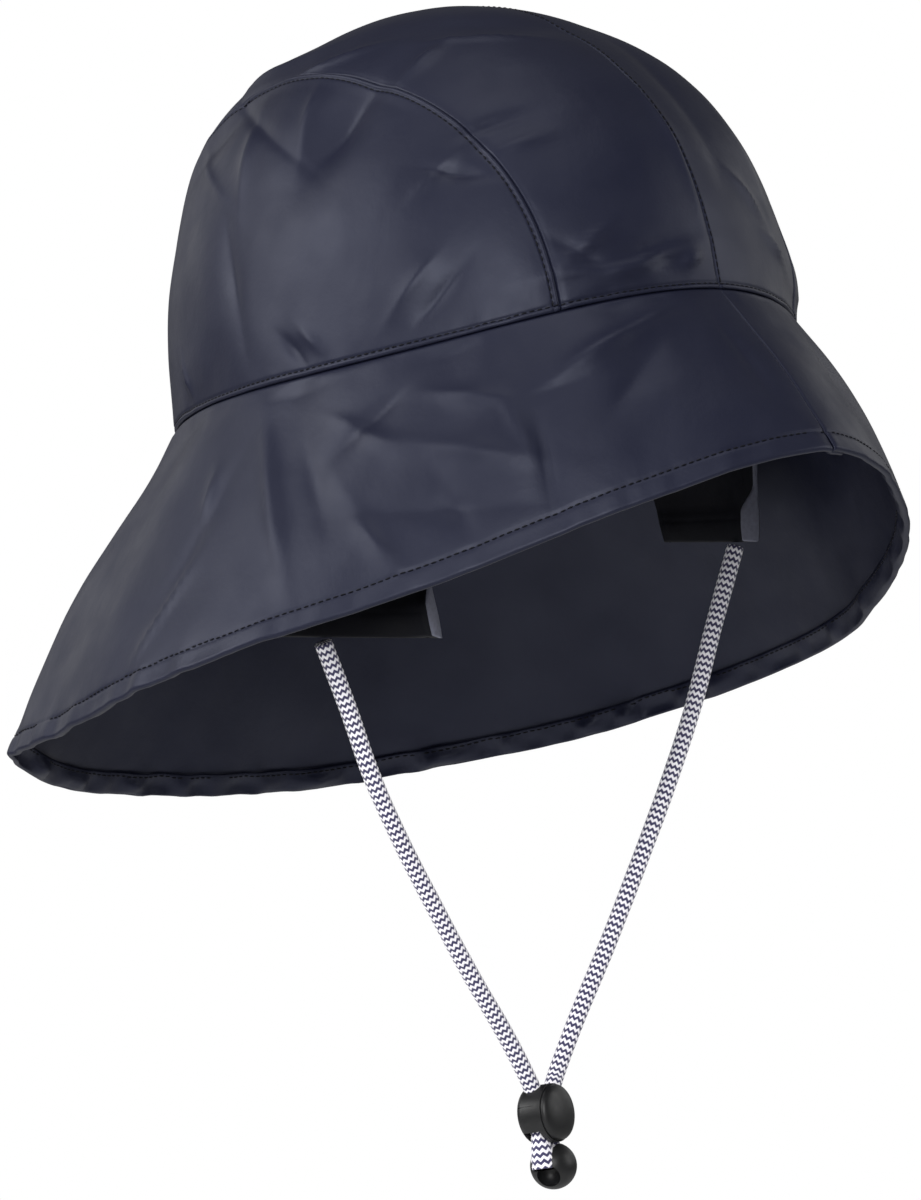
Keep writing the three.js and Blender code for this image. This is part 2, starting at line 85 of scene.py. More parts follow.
# Folds: where they lie (level is a crown's rise, or how far down the brim), how far their line leans up
# from level, their half length and half width, and their depth inward.
FOLD_COLUMNS = ("azimuth", "level", "lean", "run", "width", "depth")
CROWN_FOLDS = [
    (-72, 0.41, 52, 0.020, 0.009, 0.0028),
    (-46, 0.27, 20, 0.017, 0.006, 0.0014),
    (-20, 0.62, -12, 0.024, 0.008, 0.0018),
    (40, 0.45, 60, 0.034, 0.022, -0.0042),
    (-118, 0.50, 35, 0.020, 0.010, 0.0030),
    (115, 0.40, 60, 0.026, 0.012, 0.0030),
    (-137, 0.50, 0, 0.030, 0.020, -0.0026),
    (-140, 0.78, 0, 0.030, 0.014, 0.0016),
    (46, 0.20, 0, 0.036, 0.026, -0.0024),
    (46, 0.07, 0, 0.030, 0.009, -0.0020),
]
FINE_CROWN_FOLDS = [
    (-71, 0.41, 52, 0.0144, 0.0059, 0.0018),
    (-80, 0.44, 82, 0.0148, 0.0027, -0.0010),
    (-39, 0.33, 11, 0.0096, 0.0018, 0.0010),
    (-35, 0.28, 9, 0.0096, 0.0030, -0.0009),
    (-48, 0.25, -20, 0.0086, 0.0024, 0.0012),
    (-52, 0.26, 39, 0.0095, 0.0024, -0.0008),
    (-60, 0.08, 37, 0.0085, 0.0027, -0.0010),
    (-55, 0.06, 35, 0.0094, 0.0027, 0.0010),
    (-28, 0.08, 22, 0.0105, 0.0024, -0.0012),
    (-26, 0.04, -4, 0.0138, 0.0016, -0.0010),
    (-17, 0.04, 10, 0.0183, 0.0024, -0.0014),
    (-6, 0.04, 18, 0.0040, 0.0020, -0.0015),
    (-12, 0.04, 6, 0.0060, 0.0018, 0.0012),
    (-74, 0.61, 9, 0.0127, 0.0021, -0.0012),
    (-49, 0.53, 45, 0.0102, 0.0018, -0.0012),
    (-30, 0.57, -11, 0.0142, 0.0015, -0.0009),
    (-97, 0.40, -87, 0.0158, 0.0030, -0.0009),
    (-1, 0.26, 88, 0.0218, 0.0036, -0.0009),
    (-98, 0.17, -79, 0.0161, 0.0042, 0.0009),
    (-84, 0.03, -46, 0.0054, 0.0018, 0.0014),
    (-80, 0.04, -45, 0.0050, 0.0018, -0.0009),
    (-118, 0.05, -60, 0.0058, 0.0014, -0.0009),
    (-29, 0.07, -33, 0.0071, 0.0018, 0.0010),
    (-16, 0.06, 11, 0.0122, 0.0018, 0.0009),
    (-98, 0.49, -43, 0.0285, 0.0024, 0.0009),
    (-112, 0.40, -42, 0.0212, 0.0024, -0.0009),
    (18, 0.16, -48, 0.0080, 0.0020, -0.0011),
    (24, 0.08, -26, 0.0081, 0.0018, -0.0011),
    (14, 0.40, 80, 0.030, 0.0090, 0.0011),
    (26, 0.25, 86, 0.026, 0.0080, -0.0010),
    (52, 0.22, 80, 0.022, 0.0070, 0.0012),
    (80, 0.30, 70, 0.024, 0.0080, -0.0010),
    (150, 0.35, 75, 0.028, 0.0090, 0.0012),
    (-150, 0.30, 70, 0.026, 0.0080, -0.0011),
    (178, 0.55, 15, 0.030, 0.0070, 0.0012),
    (-120, 0.66, 12, 0.026, 0.0050, -0.0010),
]

# The brim, a row for each section round the head: azimuth, flare outward, drop from the seam, and how
# far its slope dips at its middle, or swells where negative.
FLARE, DROP, DIP = 1, 2, 3
BRIM_SECTIONS = [
    (0, 0.0331, 0.0557, -0.0013),
    (30, 0.0252, 0.0628, -0.0027),
    (60, 0.0247, 0.0722, -0.0021),
    (90, 0.0406, 0.0804, -0.0004),
    (120, 0.0516, 0.0889, -0.0032),
    (150, 0.0603, 0.0915, 0.0002),
    (180, 0.0497, 0.0932, 0.0021),
]
# Soft waves of the brim: azimuth, from, to (0 seam, 1 rim), half width along the seam, depth inward.
BRIM_WAVES = [
    (-118, 0.0, 0.8, 0.013, 0.0026),
    (-137, 0.1, 1.0, 0.022, -0.0073),
    (-84, 0.0, 0.5, 0.009, 0.0018),
    (-56, 0.0, 0.5, 0.009, 0.0016),
    (-24, 0.0, 0.55, 0.009, 0.0012),
    (70, 0.3, 1.0, 0.016, 0.0016),
    (128, 0.2, 1.0, 0.018, 0.0018),
    (165, 0.3, 1.0, 0.018, 0.0012),
]
# Small folds of the brim, in the fold columns
FINE_BRIM_FOLDS = [
    (-28, 0.24, 20, 0.0225, 0.0064, -0.0028),
    (-38, 0.38, 4, 0.0138, 0.0036, 0.0006),
    (-52, 0.29, -26, 0.0118, 0.0036, -0.0014),
    (-69, 0.26, 36, 0.0115, 0.0039, 0.0014),
    (-45, 0.51, -73, 0.0116, 0.0024, -0.0007),
    (-42, 0.69, -90, 0.0138, 0.0042, 0.0012),
    (-85, 0.45, -73, 0.0254, 0.0034, -0.0018),
    (-78, 0.44, -71, 0.0171, 0.0036, 0.0008),
    (-101, 0.75, 60, 0.0165, 0.0018, -0.0010),
    (-98, 0.51, 70, 0.0227, 0.0036, 0.0007),
    (-6, 0.44, -86, 0.0156, 0.0036, 0.0006),
    (-70, 0.64, -59, 0.0220, 0.0036, -0.0006),
    (-56, 0.73, -67, 0.0150, 0.0042, 0.0005),
    (-54, 0.51, -25, 0.0232, 0.0051, -0.0014),
    (-60, 0.70, -16, 0.0257, 0.0045, 0.0011),
    (-70, 0.30, -38, 0.0127, 0.0026, -0.0010),
    (-68, 0.76, -55, 0.0111, 0.0024, -0.0012),
    (-26, 0.44, 40, 0.0114, 0.0048, 0.0009),
    (-98, 0.38, -84, 0.0095, 0.0024, -0.0010),
    (20, 0.40, 80, 0.020, 0.0080, 0.0009),
    (44, 0.50, 86, 0.022, 0.0080, -0.0009),
    (100, 0.40, 80, 0.030, 0.0090, 0.0011),
    (150, 0.45, -84, 0.030, 0.0090, -0.0011),
    (-160, 0.40, 84, 0.030, 0.0090, 0.0011),
]
FINE_FOLD_GAIN = 1.4

# Radii of the brim: at its rim, at its middle and along its front seam
RIM_RADIUS = 0.145
BRIM_RADIUS = 0.12
BRIM_SEAM_RADIUS = HEAD_RADIUS + 0.04

# How deep a panel runs on beneath its neighbour, and the brim beneath the crown
LAP_DEPTH = 0.00092
BAND_LAP_DEPTH = 0.00085
# About how long a side panel's edges are
SIDE_PANEL_LENGTH = 0.26

# Closer than these, points count as one
CROWN_WELD = 0.00002
WELD = 0.00001
NEAR = 1e-6

# The ear flaps: azimuths of their edges and cords, the walls of cloth and of the tunnel hem, how far in
# they are sewn, how far their front bottom corner turns in, and how far they hang below the head opening
FLAP_FRONT = 70
FLAP_LEAN = 3
FLAP_BACK = 101
FLAP_CORD = {"right": 87.2, "left": 83.5}
FLAP_WALL = 0.0014
FLAP_HEM = 0.007
FLAP_HEM_WALL = 0.0026
FLAP_SEAT = 0.00065
FLAP_TOP = 0.005
FLAP_CURL = {"right": 0.0145, "left": 0.0116}
FLAP_OUT = 0.0037
FLAP_DROP = {"right": 0.0746, "left": 0.0463}
FLAP_CLOTH = 0.0012
# How far the open front end of the tunnel hem gapes, outward and inward
FLAP_MOUTH = {"right": (0.0034, 0.0), "left": (0.0, 0.0042)}

# The chin cord. fall and reach are shares of its height and of its plan length, flap to toggle.
CORD = 0.0052
CORD_GAP = 0.0015
CORD_FLARE = {"right": 0.36, "left": 0.0}
CORD_ROUTE = [(0.15, 0.121), (0.3, 0.233), (0.45, 0.376), (0.6, 0.539), (0.75, 0.709), (0.9, 0.892)]
# The stretch in the toggle and on into the ball: side across the toggle, level along the cord hole.
CORD_IN_LOCK = {
    "right": [
        (0.0048, 0.0107), (0.0032, 0.0075), (0.00285, 0.0030), (0.0028, -0.0030), (0.0028, -0.0090),
        (0.0028, -0.0159),
    ],
    "left": [
        (0.0102, 0.0107), (0.0076, 0.0075), (0.0050, 0.0039), (0.0032, -0.0006), (0.0028, -0.0050),
        (0.0028, -0.0159),
    ],
}
CORD_SIDES = 40
CORD_STEP = 0.00042
BRAID_TOOTH = 0.42

# The toggle: its place, turn and lift, its drum's width and depths before and behind the cord, the seat
# for the button, and the width of the cord hole
LOCK_PLACE = Vector((0.0020, -0.0220, -0.2157))
LOCK_TURN = math.radians(12.8)
LOCK_LIFT = math.radians(9.5)
DRUM = 0.0174
DRUM_FRONT = 0.0049
DRUM_BACK = 0.0041
CUP = 0.0168
CUP_DEEP = 0.0020
CORD_HOLE = 0.0057
# Half the cord hole's width on the right and on the left, and the level
FUNNEL = [
    (0.0092, 0.0060, -0.0092), (0.0062, 0.0059, -0.0034), (0.0064, 0.0088, 0.0034), (0.0086, 0.0138, 0.0095),
]
# The push button: its width, how deep it sits at rest, its straight rim and its dome
BUTTON = 0.0166
BUTTON_SEATED = 0.00035
BUTTON_RIM = 0.0006
BUTTON_DOME = 0.0028
# The ball, the slot in it for the cord ends, and the round mouth at its lower front
BALL = 0.0139
BALL_SIDE = 0.0024
BALL_LEVEL = -0.01545
NOTCH = 0.0059
NOTCH_HALF = 0.0059
NOTCH_FLOOR = -0.0164
MOUTH = 0.0074
MOUTH_PLACE = Vector((0.0009, -0.0018, -0.0178))

# The camera: where it stands round the object, how far off, and the point that it looks level at
VIEW_AZIMUTH = math.radians(-44.2)
VIEW_DISTANCE = 2.0565
VIEW_RIGHT = -0.00725
VIEW_UP = -0.0639
LENS = 207.6
SENSOR = 36.0


def length_property(name, description, default):
    return FloatProperty(name=name, description=description, default=default, unit="LENGTH", precision=5)


def colour_property(name, description, default):
    return FloatVectorProperty(name=name, description=description, default=default, size=3, subtype="COLOR")


def power_property(name, description, default):
    return FloatProperty(name=name, description=description, default=default, unit="POWER")


class HatSizes(PropertyGroup):
    """Sizes of the cloth, the seams and the stitching."""

    cloth: length_property("Cloth", "Thickness of the coated fabric", 0.0008)
    lap: length_property("Seam lap", "How far one panel runs on beneath the next", 0.004)
    topstitch: length_property("Topstitch", "From a lapped edge to its row of stitches", 0.0018)
    hem: length_property("Hem", "From the rim to the hem's row of stitches", 0.0063)
    stitch: length_property("Stitch", "Length of one stitch", 0.0017)
    stitch_step: length_property("Stitch step", "From one stitch to the next", 0.0023)
    thread: length_property("Thread", "Thickness of the sewing thread", 0.00047)
    braid_row: length_property("Braid row", "From one zigzag of the cord to the next", 0.0021)
    braid_teeth: IntProperty(
        name="Braid teeth", description="Teeth of a zigzag round the cord", default=10, min=4)


class HatColours(PropertyGroup):
    """Colours of the finishes, in linear light."""

    cloth: colour_property("Cloth", "Coated fabric", (0.0075, 0.0085, 0.0200))
    cloth_worn: colour_property(
        "Cloth, lighter", "Coated fabric where its tone varies", (0.0095, 0.0107, 0.0235))
    # The flaps' dark cloth, darkened further as painted shade for the shadow they hang in under the brim
    flap: colour_property("Flap", "Dull dark cloth of the ear flaps", (0.0024, 0.0026, 0.0046))
    # The cloth's lighter uncoated side; on the flaps' front edge its light colour also serves as a painted
    # highlight where light catches that edge
    reverse: colour_property("Cloth, reverse", "Uncoated side of the fabric", (0.150, 0.156, 0.205))
    # Navy thread, made darker than the cloth as painted shade for the shadowed stitch holes along each row
    thread: colour_property("Thread", "Sewing thread", (0.0020, 0.0022, 0.0050))
    braid_light: colour_property("Braid, light", "Light yarn of the cord", (0.97, 0.95, 1.0))
    braid_dark: colour_property("Braid, dark", "Dark yarn of the cord", (0.030, 0.026, 0.095))
    plastic: colour_property("Plastic", "Moulded toggle and ball", (0.0085, 0.0087, 0.0092))
    stage: colour_property("Stage", "Floor", (0.86, 0.86, 0.86))


class HatLight(PropertyGroup):
    """Strengths of the studio light."""

    left: power_property("Left", "Large soft light from the left", 32.0)
    right: power_property("Right", "Large soft light from the right", 12.0)
    behind: power_property("Behind", "Soft light from behind, on either side", 2.5)
    front: power_property("Front", "Soft light from the front", 42.0)
    top: power_property("Top", "Weak soft light from above", 7.0)
    around: FloatProperty(name="Around", description="Light from all round", default=0.12, min=0)


def bell(x):
    return np.exp(-x * x)


def crease(x):
    """Like a bell, but with a nearly sharp line at its middle."""
    return np.exp(-1.3 * (np.sqrt(x * x + 0.03) - math.sqrt(0.03)))


def smooth(low, high, x):
    t = np.clip((x - low) / (high - low), 0, 1)
    return t * t * (3 - 2 * t)


def unit(v):
    return v / np.maximum(np.linalg.norm(v, axis=-1, keepdims=True), 1e-12)


def turn(start, azimuth):
    """Shortest way round from one azimuth to another."""
    return (azimuth - start + 180) % 360 - 180


def lumps(points, size, seed):
    """Smooth noise from -1 to 1 with lumps of about the given size, the same on every run."""
    scaled = points / size
    cell = np.floor(scaled)
    t = scaled - cell
    t = t * t * t * (t * (t * 6 - 15) + 10)
    cell = cell.astype(np.int64)
    total = np.zeros(points.shape[:-1])
    for corner in itertools.product((0, 1), repeat=3):
        at = cell + np.array(corner)
        key = (at[..., 0] * 73856093) ^ (at[..., 1] * 19349663) ^ (at[..., 2] * 83492791) ^ (seed * 2654435)
        key = (key & 0xFFFFFFFF) * 1664525 + 1013904223 & 0xFFFFFFFF
        key = (key ^ (key >> 15)) * 2246822519 & 0xFFFFFFFF
        key = (key ^ (key >> 13)) * 3266489917 & 0xFFFFFFFF
        value = (key ^ (key >> 16)) / 2147483647.5 - 1
        total += value * np.prod(np.where(np.array(corner) == 1, t, 1 - t), axis=-1)
    return total


def seam_point(azimuth):
    """A point of the seam round the head opening."""
    a = np.radians(azimuth)
    wave = SEAM_WAVE_2 * np.cos(2 * a) + SEAM_WAVE_3 * np.cos(3 * a)
    return np.stack([HEAD_WIDTH / 2 * np.sin(a), -HEAD_LENGTH / 2 * np.cos(a), wave], -1)


def arch_point(azimuth, rise):
    """The crown without folds."""
    foot = seam_point(azimuth)
    t = np.clip(rise, 0, 1) * np.pi / 2
    out = np.maximum(np.cos(t), 0) ** (2 / CROWN_ROUND)
    up = np.maximum(np.sin(t), 0) ** (2 / CROWN_ROUND)
    return np.stack([
        foot[..., 0] * out,
        foot[..., 1] * out + CROWN_BACK * up * up,
        foot[..., 2] * (1 - up) + CROWN_HEIGHT * up,
    ], -1)


def from_disc(q):
    """Azimuth and rise of a point of the crown spread flat: highest point in the middle, seam at radius 1."""
    return np.degrees(np.arctan2(q[..., 0], -q[..., 1])), 1 - np.linalg.norm(q, axis=-1)


def to_disc(azimuth, rise):
    a = np.radians(azimuth)
    return np.stack([np.sin(a), -np.cos(a)], -1) * (1 - np.asarray(rise))[..., None]


def crown_normal(azimuth, rise):
    q = to_disc(azimuth, np.clip(rise, 0.012, 1))
    step = 0.004
    along = [arch_point(*from_disc(q + d)) - arch_point(*from_disc(q - d))
             for d in (np.array([step, 0]), np.array([0, step]))]
    return unit(np.cross(along[0], along[1]))


def fold_depth(folds, azimuth, level, radius, reach, profile=bell):
    """Depth of slanting folds. radius and reach turn azimuths and levels into lengths on the cloth."""
    total = np.zeros(np.shape(azimuth))
    for row in folds:
        fold = dict(zip(FOLD_COLUMNS, row))
        across = np.radians(turn(fold["azimuth"], azimuth)) * radius
        up = (level - fold["level"]) * reach
        lean = math.radians(fold["lean"])
        along = across * math.cos(lean) + up * math.sin(lean)
        beside = up * math.cos(lean) - across * math.sin(lean)
        total += fold["depth"] * bell(along / fold["run"]) * profile(beside / fold["width"])
    return total


def crown_height(azimuth, rise):
    """How far up from the band seam a point of the crown lies."""
    return arch_point(azimuth, rise)[..., 2] - seam_point(azimuth)[..., 2]


def rise_at(height):
    """The rise a little way up the steep wall of the crown."""
    return np.arcsin((height / CROWN_HEIGHT) ** (CROWN_ROUND / 2)) * 2 / np.pi


def crown_point(azimuth, rise, depth):
    """A point of the crown with its folds, at some depth under its outer face."""
    radius = HEAD_RADIUS * np.cos(rise * np.pi / 2)
    folds = fold_depth(CROWN_FOLDS, azimuth, rise, radius, ARC)
    folds = folds + FINE_FOLD_GAIN * fold_depth(FINE_CROWN_FOLDS, azimuth, rise, radius, ARC, crease)
    depth = depth + folds * np.clip(rise / 0.04, 0, 1)
    return arch_point(azimuth, rise) - crown_normal(azimuth, rise) * depth[..., None]


def edge_lumps(azimuth, radius, step, away, seed):
    """Smooth noise in short lumps along a sewn edge."""
    return lumps(np.stack([np.radians(azimuth) * radius / step, away, np.zeros_like(away)], -1), 1, seed)


def crown_ripples(azimuth, rise):
    """Soft unevenness of the crown's cloth, and the pucker that its sewn edge gives it."""
    p = arch_point(azimuth, rise)
    height = crown_height(azimuth, rise)
    soft = 0.00055 * lumps(p, 0.034, 3) + 0.00022 * lumps(p, 0.013, 5)
    sewn = 0.00030 * edge_lumps(azimuth, HEAD_RADIUS, 0.0052, height / 0.020, 11)
    return (soft + sewn * np.exp(-height / 0.0060)) * np.clip(height / 0.002, 0, 1)


def seam_off(y):
    return SIDE_SEAM_OFF - SIDE_SEAM_BOW * ((y - SIDE_SEAM_MIDDLE) / SIDE_SEAM_RUN) ** 2


def border(inside, outside, holds):
    """Where something stops to hold, between a place where it does and one where it doesn't."""
    for _ in range(40):
        middle = (inside + outside) / 2
        held = holds(middle)
        inside, outside = np.where(held, middle, inside), np.where(held, outside, middle)
    return inside


def seam_rise(azimuth):
    """The rise at which the side seam crosses an azimuth, 0 where it doesn't."""
    def beyond(rise):
        p = arch_point(azimuth, rise)
        return np.abs(p[..., 0]) - seam_off(p[..., 1]) > 0

    foot = np.zeros(np.shape(azimuth))
    return np.where(beyond(foot), border(foot, foot + 1, beyond), 0)


def seam_foot(inside, outside):
    """The azimuth at which the side seam meets the head opening."""
    return border(inside, outside, lambda azimuth: seam_rise(azimuth) > 0)


def arc_lengths(points):
    steps = np.linalg.norm(np.diff(points, axis=0), axis=-1)
    return np.concatenate([[0], np.cumsum(steps)])


def side_seam(places):
    """Azimuth and rise of the left side seam at shares of its length, front to back."""
    ease = 0.5 - 0.5 * np.cos(np.linspace(0, np.pi, 1601))
    front = seam_foot(90.0, 0.0)
    azimuth = front + (seam_foot(90.0, 180.0) - front) * ease
    length = arc_lengths(arch_point(azimuth, seam_rise(azimuth)))
    azimuth = np.interp(np.asarray(places) * length[-1], length, azimuth)
    return azimuth, seam_rise(azimuth)


def side_seam_line():
    """The left side seam by closely spaced points."""
    return arch_point(*side_seam(np.linspace(0, 1, 1800)))


def distance_to(points, line):
    """Distance of each point from a line that is given by closely spaced points."""
    tree = KDTree(len(line))
    for k, p in enumerate(line):
        tree.insert(Vector(p), k)
    tree.balance()
    flat = points.reshape(-1, 3)
    return np.array([tree.find(Vector(p))[2] for p in flat]).reshape(points.shape[:-1])


# Places close to a sewn edge, from the edge inward, where the relief of the seam needs fine steps
EDGE_STEPS = np.array([0, 0.15, 0.3, 0.45, 0.65, 0.9, 1.15, 1.4, 1.65, 1.9, 2.2, 2.6, 3.2, 4.0]) * 0.001


def shares(length, low, high, middle):
    """Shares along a line of some length: edge steps at its ends, an even run between them."""
    low = np.asarray(low) / length
    high = 1 - np.asarray(high)[::-1] / length
    squeeze = min(1, 0.42 / max(low[-1], 1 - high[0], 1e-9))
    low = low * squeeze
    high = 1 - (1 - high) * squeeze
    return np.concatenate([low, np.linspace(low[-1], high[0], middle + 1)[1:-1], high])


def rounded(x):
    """A quarter round: 1 at the very edge, 0 from x = 1 on."""
    return 1 - np.sqrt(np.clip(1 - (1 - np.clip(x, 0, 1)) ** 2, 0, 1))


def lapped_edge(d, topstitch):
    """Depth of a folded edge that lies over its neighbour: rounded, then raised, then a sewn groove."""
    fold = 0.00045
    round_over = fold * rounded(d / fold)
    raised = -0.00034 * bell((d - topstitch * 0.52) / 0.00062)
    groove = 0.00036 * bell((d - topstitch) / 0.00042)
    return round_over + raised + groove


def plain_edge(d):
    """Depth of an edge turned in at a plain seam."""
    return 0.00055 * bell(d / 0.00055)


def running_under(d, depth):
    """Depth of a panel that runs on beneath its neighbour: d is negative beyond the seam."""
    return depth * (1 - smooth(-0.0003, 0.0008, d))


def tilt(points):
    """From the hat's own frame to the part's."""
    c, s = math.cos(TILT), math.sin(TILT)
    x, y, z = points[..., 0], points[..., 1], points[..., 2]
    return np.stack([x, y * c + z * s, -y * s + z * c], -1)


def deselect():
    if bpy.context.object and bpy.context.object.mode != "OBJECT":
        bpy.ops.object.mode_set(mode="OBJECT")
    bpy.ops.object.select_all(action="DESELECT")


def choose(piece):
    deselect()
    piece.select_set(True)
    bpy.context.view_layer.objects.active = piece


@contextmanager
def editing(piece):
    """Edit mode on the whole of one piece."""
    choose(piece)
    bpy.ops.object.mode_set(mode="EDIT")
    bpy.ops.mesh.select_all(action="SELECT")
    yield bpy.ops.mesh
    bpy.ops.object.mode_set(mode="OBJECT")


def apply_modifier(piece, kind, **settings):
    choose(piece)
    modifier = piece.modifiers.new(kind.lower(), kind)
    for key, value in settings.items():
        setattr(modifier, key, value)
    bpy.ops.object.modifier_apply(modifier=modifier.name)


def cloth_grid(name, points, outward=None, texture=None):
    """A sheet of cloth from a grid of points, with a UV map in metres and its faces turned outward."""
    rows, columns = points.shape[:2]
    deselect()
    bpy.ops.mesh.primitive_grid_add(
        x_subdivisions=columns - 1, y_subdivisions=rows - 1, size=1, calc_uvs=True)
    cloth = bpy.context.active_object
    cloth.name = cloth.data.name = name
    if len(cloth.data.vertices) != rows * columns:
        raise RuntimeError(f"{name}: the grid has {len(cloth.data.vertices)} points, not {rows * columns}")
    cloth.data.vertices.foreach_set("co", points.astype(np.float32).ravel())
    order = np.zeros(len(cloth.data.loops), np.int32)
    cloth.data.loops.foreach_get("vertex_index", order)
    texture = texture_of(points) if texture is None else texture
    cloth.data.uv_layers[0].data.foreach_set("uv", texture.reshape(-1, 2)[order].astype(np.float32).ravel())
    cloth.data.update()
    if outward is not None:
        normals = np.zeros(len(cloth.data.vertices) * 3, np.float32)
        cloth.data.vertices.foreach_get("normal", normals)
        if (normals.reshape(-1, 3) * outward.reshape(-1, 3)).sum() < 0:
            with editing(cloth) as mesh:
                mesh.flip_normals()
    return cloth


def thicken(cloth, thickness):
    """Gives the sheet its wall, inward from the outer face."""
    apply_modifier(cloth, "SOLIDIFY", thickness=thickness, offset=-1, use_even_offset=False)
    bpy.ops.object.shade_smooth()


def finish_piece(piece, slot, material, *replaced, body="hat"):
    piece.data.materials.clear()
    piece.data.materials.append(material)
    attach(piece, body)
    if replaced:
        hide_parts(*replaced)
    return piece


def texture_of(points):
    """Lengths along the rows and columns of a grid, in metres, for the weave."""
    along = np.linalg.norm(np.diff(points, axis=1, prepend=points[:, :1]), axis=-1).cumsum(1)
    up = np.linalg.norm(np.diff(points, axis=0, prepend=points[:1]), axis=-1).cumsum(0)
    return np.stack([along, up], -1)


def plug(tree, made, inputs):
    """Fills inputs of a shader node: a socket is linked, anything else is a plain value."""
    for key, value in inputs.items():
        if isinstance(value, bpy.types.NodeSocket):
            tree.links.new(value, made.inputs[key])
        elif value is not None:
            made.inputs[key].default_value = value
    return made


def node(tree, kind, inputs=None, **settings):
    made = tree.nodes.new(kind)
    for key, value in settings.items():
        setattr(made, key, value)
    return plug(tree, made, inputs or {})


def noise(tree, where, scale, detail=2.0):
    made = node(tree, "ShaderNodeTexNoise", {"Vector": where, "Scale": scale, "Detail": detail})
    return made.outputs["Fac"]


def ranged(tree, value, low, high, start=0.3, end=0.7):
    return node(tree, "ShaderNodeMapRange", {
        "Value": value, "From Min": start, "From Max": end, "To Min": low, "To Max": high}).outputs[0]


def math_node(tree, operation, a, b):
    return node(tree, "ShaderNodeMath", {0: a, 1: b}, operation=operation).outputs[0]


def mixed_colour(tree, factor, first, second):
    inputs = {0: factor, 6: (*first, 1), 7: (*second, 1)}
    return node(tree, "ShaderNodeMix", inputs, data_type="RGBA").outputs[2]


def bump(tree, height, strength, distance, under=None):
    return node(tree, "ShaderNodeBump", {
        "Height": height, "Strength": strength, "Distance": distance, "Normal": under}).outputs["Normal"]


def new_material(name):
    material = bpy.data.materials.new(name)
    material.use_nodes = True
    tree = material.node_tree
    return material, tree, tree.nodes["Principled BSDF"], node(tree, "ShaderNodeTexCoord").outputs


def finish(name, tones, spots, rough, specular=0.5, grain=None):
    """A material whose colour wanders between two tones, in spots of some scale.

    rough is one value, or the scale of its own spots and its range. grain is its scale, detail, strength
    and depth."""
    material, tree, shader, where = new_material(name)
    place = where["Object"]
    if isinstance(rough, tuple):
        scale, low, high = rough
        rough = ranged(tree, noise(tree, place, scale, 3), low, high)
    plug(tree, shader, {
        "Base Color": mixed_colour(tree, ranged(tree, noise(tree, place, spots), 0, 1), *tones),
        "Roughness": rough, "Specular IOR Level": specular})
    if grain:
        scale, detail, strength, depth = grain
        plug(tree, shader, {"Normal": bump(tree, noise(tree, place, scale, detail), strength, depth)})
    return material, tree, shader, where


# Plain finishes: their colour, their second tone as a share of it, and the rest as in finish
PLAIN_FINISHES = {
    # The flaps' finish: their own dark cloth, darkened further as painted shade for the shadow under the brim
    "dull_dark_cloth": ("flap", 1.5, 60, 0.65, 0.14, (900, 3, 0.25, 0.0002)),
    # Lighter uncoated side of the cloth, also a painted highlight on the flaps' front edge
    "cloth_reverse": ("reverse", 0.8, 900, 0.7, 0.5, (2600, 2, 0.2, 0.0001)),
    # Navy thread, darkened as painted shade for the shadowed stitch holes
    "sewing_thread": ("thread", 0.6, 1800, 0.6, 0.15, (5000, 2, 0.3, 0.0001)),
    "moulded_plastic": ("plastic", 1.25, 220, (400, 0.36, 0.46), 0.32, (4200, 2, 0.12, 0.0001)),
    "pale_floor": ("stage", 0.985, 3, 0.85),
}


def plain_finish(name):
    tone, share, *rest = PLAIN_FINISHES[name]
    first = getattr(bpy.context.scene.hat_colours, tone)
    return finish(name, (first, tuple(share * c for c in first)), *rest)[0]


def coated_fabric(name):
    """Tightly woven cloth under a satin waterproof coat: fine grain, faint weave, uneven sheen."""
    colours = bpy.context.scene.hat_colours
    material, tree, shader, where = finish(
        name, (colours.cloth, colours.cloth_worn), 26, (70, 0.40, 0.50), 0.27)
    warp, weft = (node(tree, "ShaderNodeTexWave", {"Vector": where["UV"], "Scale": 760.0},
                       bands_direction=way).outputs["Fac"] for way in "XY")
    normal = bump(tree, noise(tree, where["Object"], 55, 3), 0.30, 0.0012)
    normal = bump(tree, noise(tree, where["Object"], 900), 0.16, 0.0002, normal)
    normal = bump(tree, math_node(tree, "MAXIMUM", warp, weft), 0.10, 0.00005, normal)
    plug(tree, shader, {"Normal": normal, "Specular Tint": (0.78, 0.82, 1.0, 1)})
    return material


def braided_cord(name):
    """Round braid: zigzag rows of dark yarn on a light ground, by its UV map (round the cord, along it)."""
    sizes, colours = bpy.context.scene.hat_sizes, bpy.context.scene.hat_colours
    material, tree, shader, where = new_material(name)
    round_cord, along = node(tree, "ShaderNodeSeparateXYZ", {0: where["UV"]}).outputs[:2]

    def times(value, factor):
        return math_node(tree, "MULTIPLY", value, factor)

    tooth = math_node(tree, "PINGPONG", times(round_cord, 2.0 * sizes.braid_teeth), 1.0)
    row = math_node(tree, "DIVIDE", along, sizes.braid_row)
    row = math_node(tree, "ADD", row, times(tooth, BRAID_TOOTH))
    row = math_node(tree, "ADD", row, times(noise(tree, where["Object"], 700), 0.18))
    dark = ranged(tree, math_node(tree, "PINGPONG", row, 0.5), 0, 1, 0.21, 0.30)
    turned = node(tree, "ShaderNodeCombineXYZ", {
        0: times(round_cord, 4.0 * sizes.braid_teeth), 1: times(row, 2.0)}).outputs[0]
    yarn = node(tree, "ShaderNodeTexWave", {"Vector": turned, "Scale": 0.31}, bands_direction="DIAGONAL")
    plug(tree, shader, {
        "Base Color": mixed_colour(tree, dark, colours.braid_light, colours.braid_dark),
        "Normal": bump(tree, yarn.outputs["Fac"], 0.5, 0.0002),
        "Roughness": 0.75, "Sheen Weight": 0.3, "Sheen Roughness": 0.5})
    return material


def finished(name):
    """A material by its name, made once and shared."""
    makers = {"satin_coated_fabric": coated_fabric, "zigzag_braid": braided_cord}
    return bpy.data.materials.get(name) or makers.get(name, plain_finish)(name)


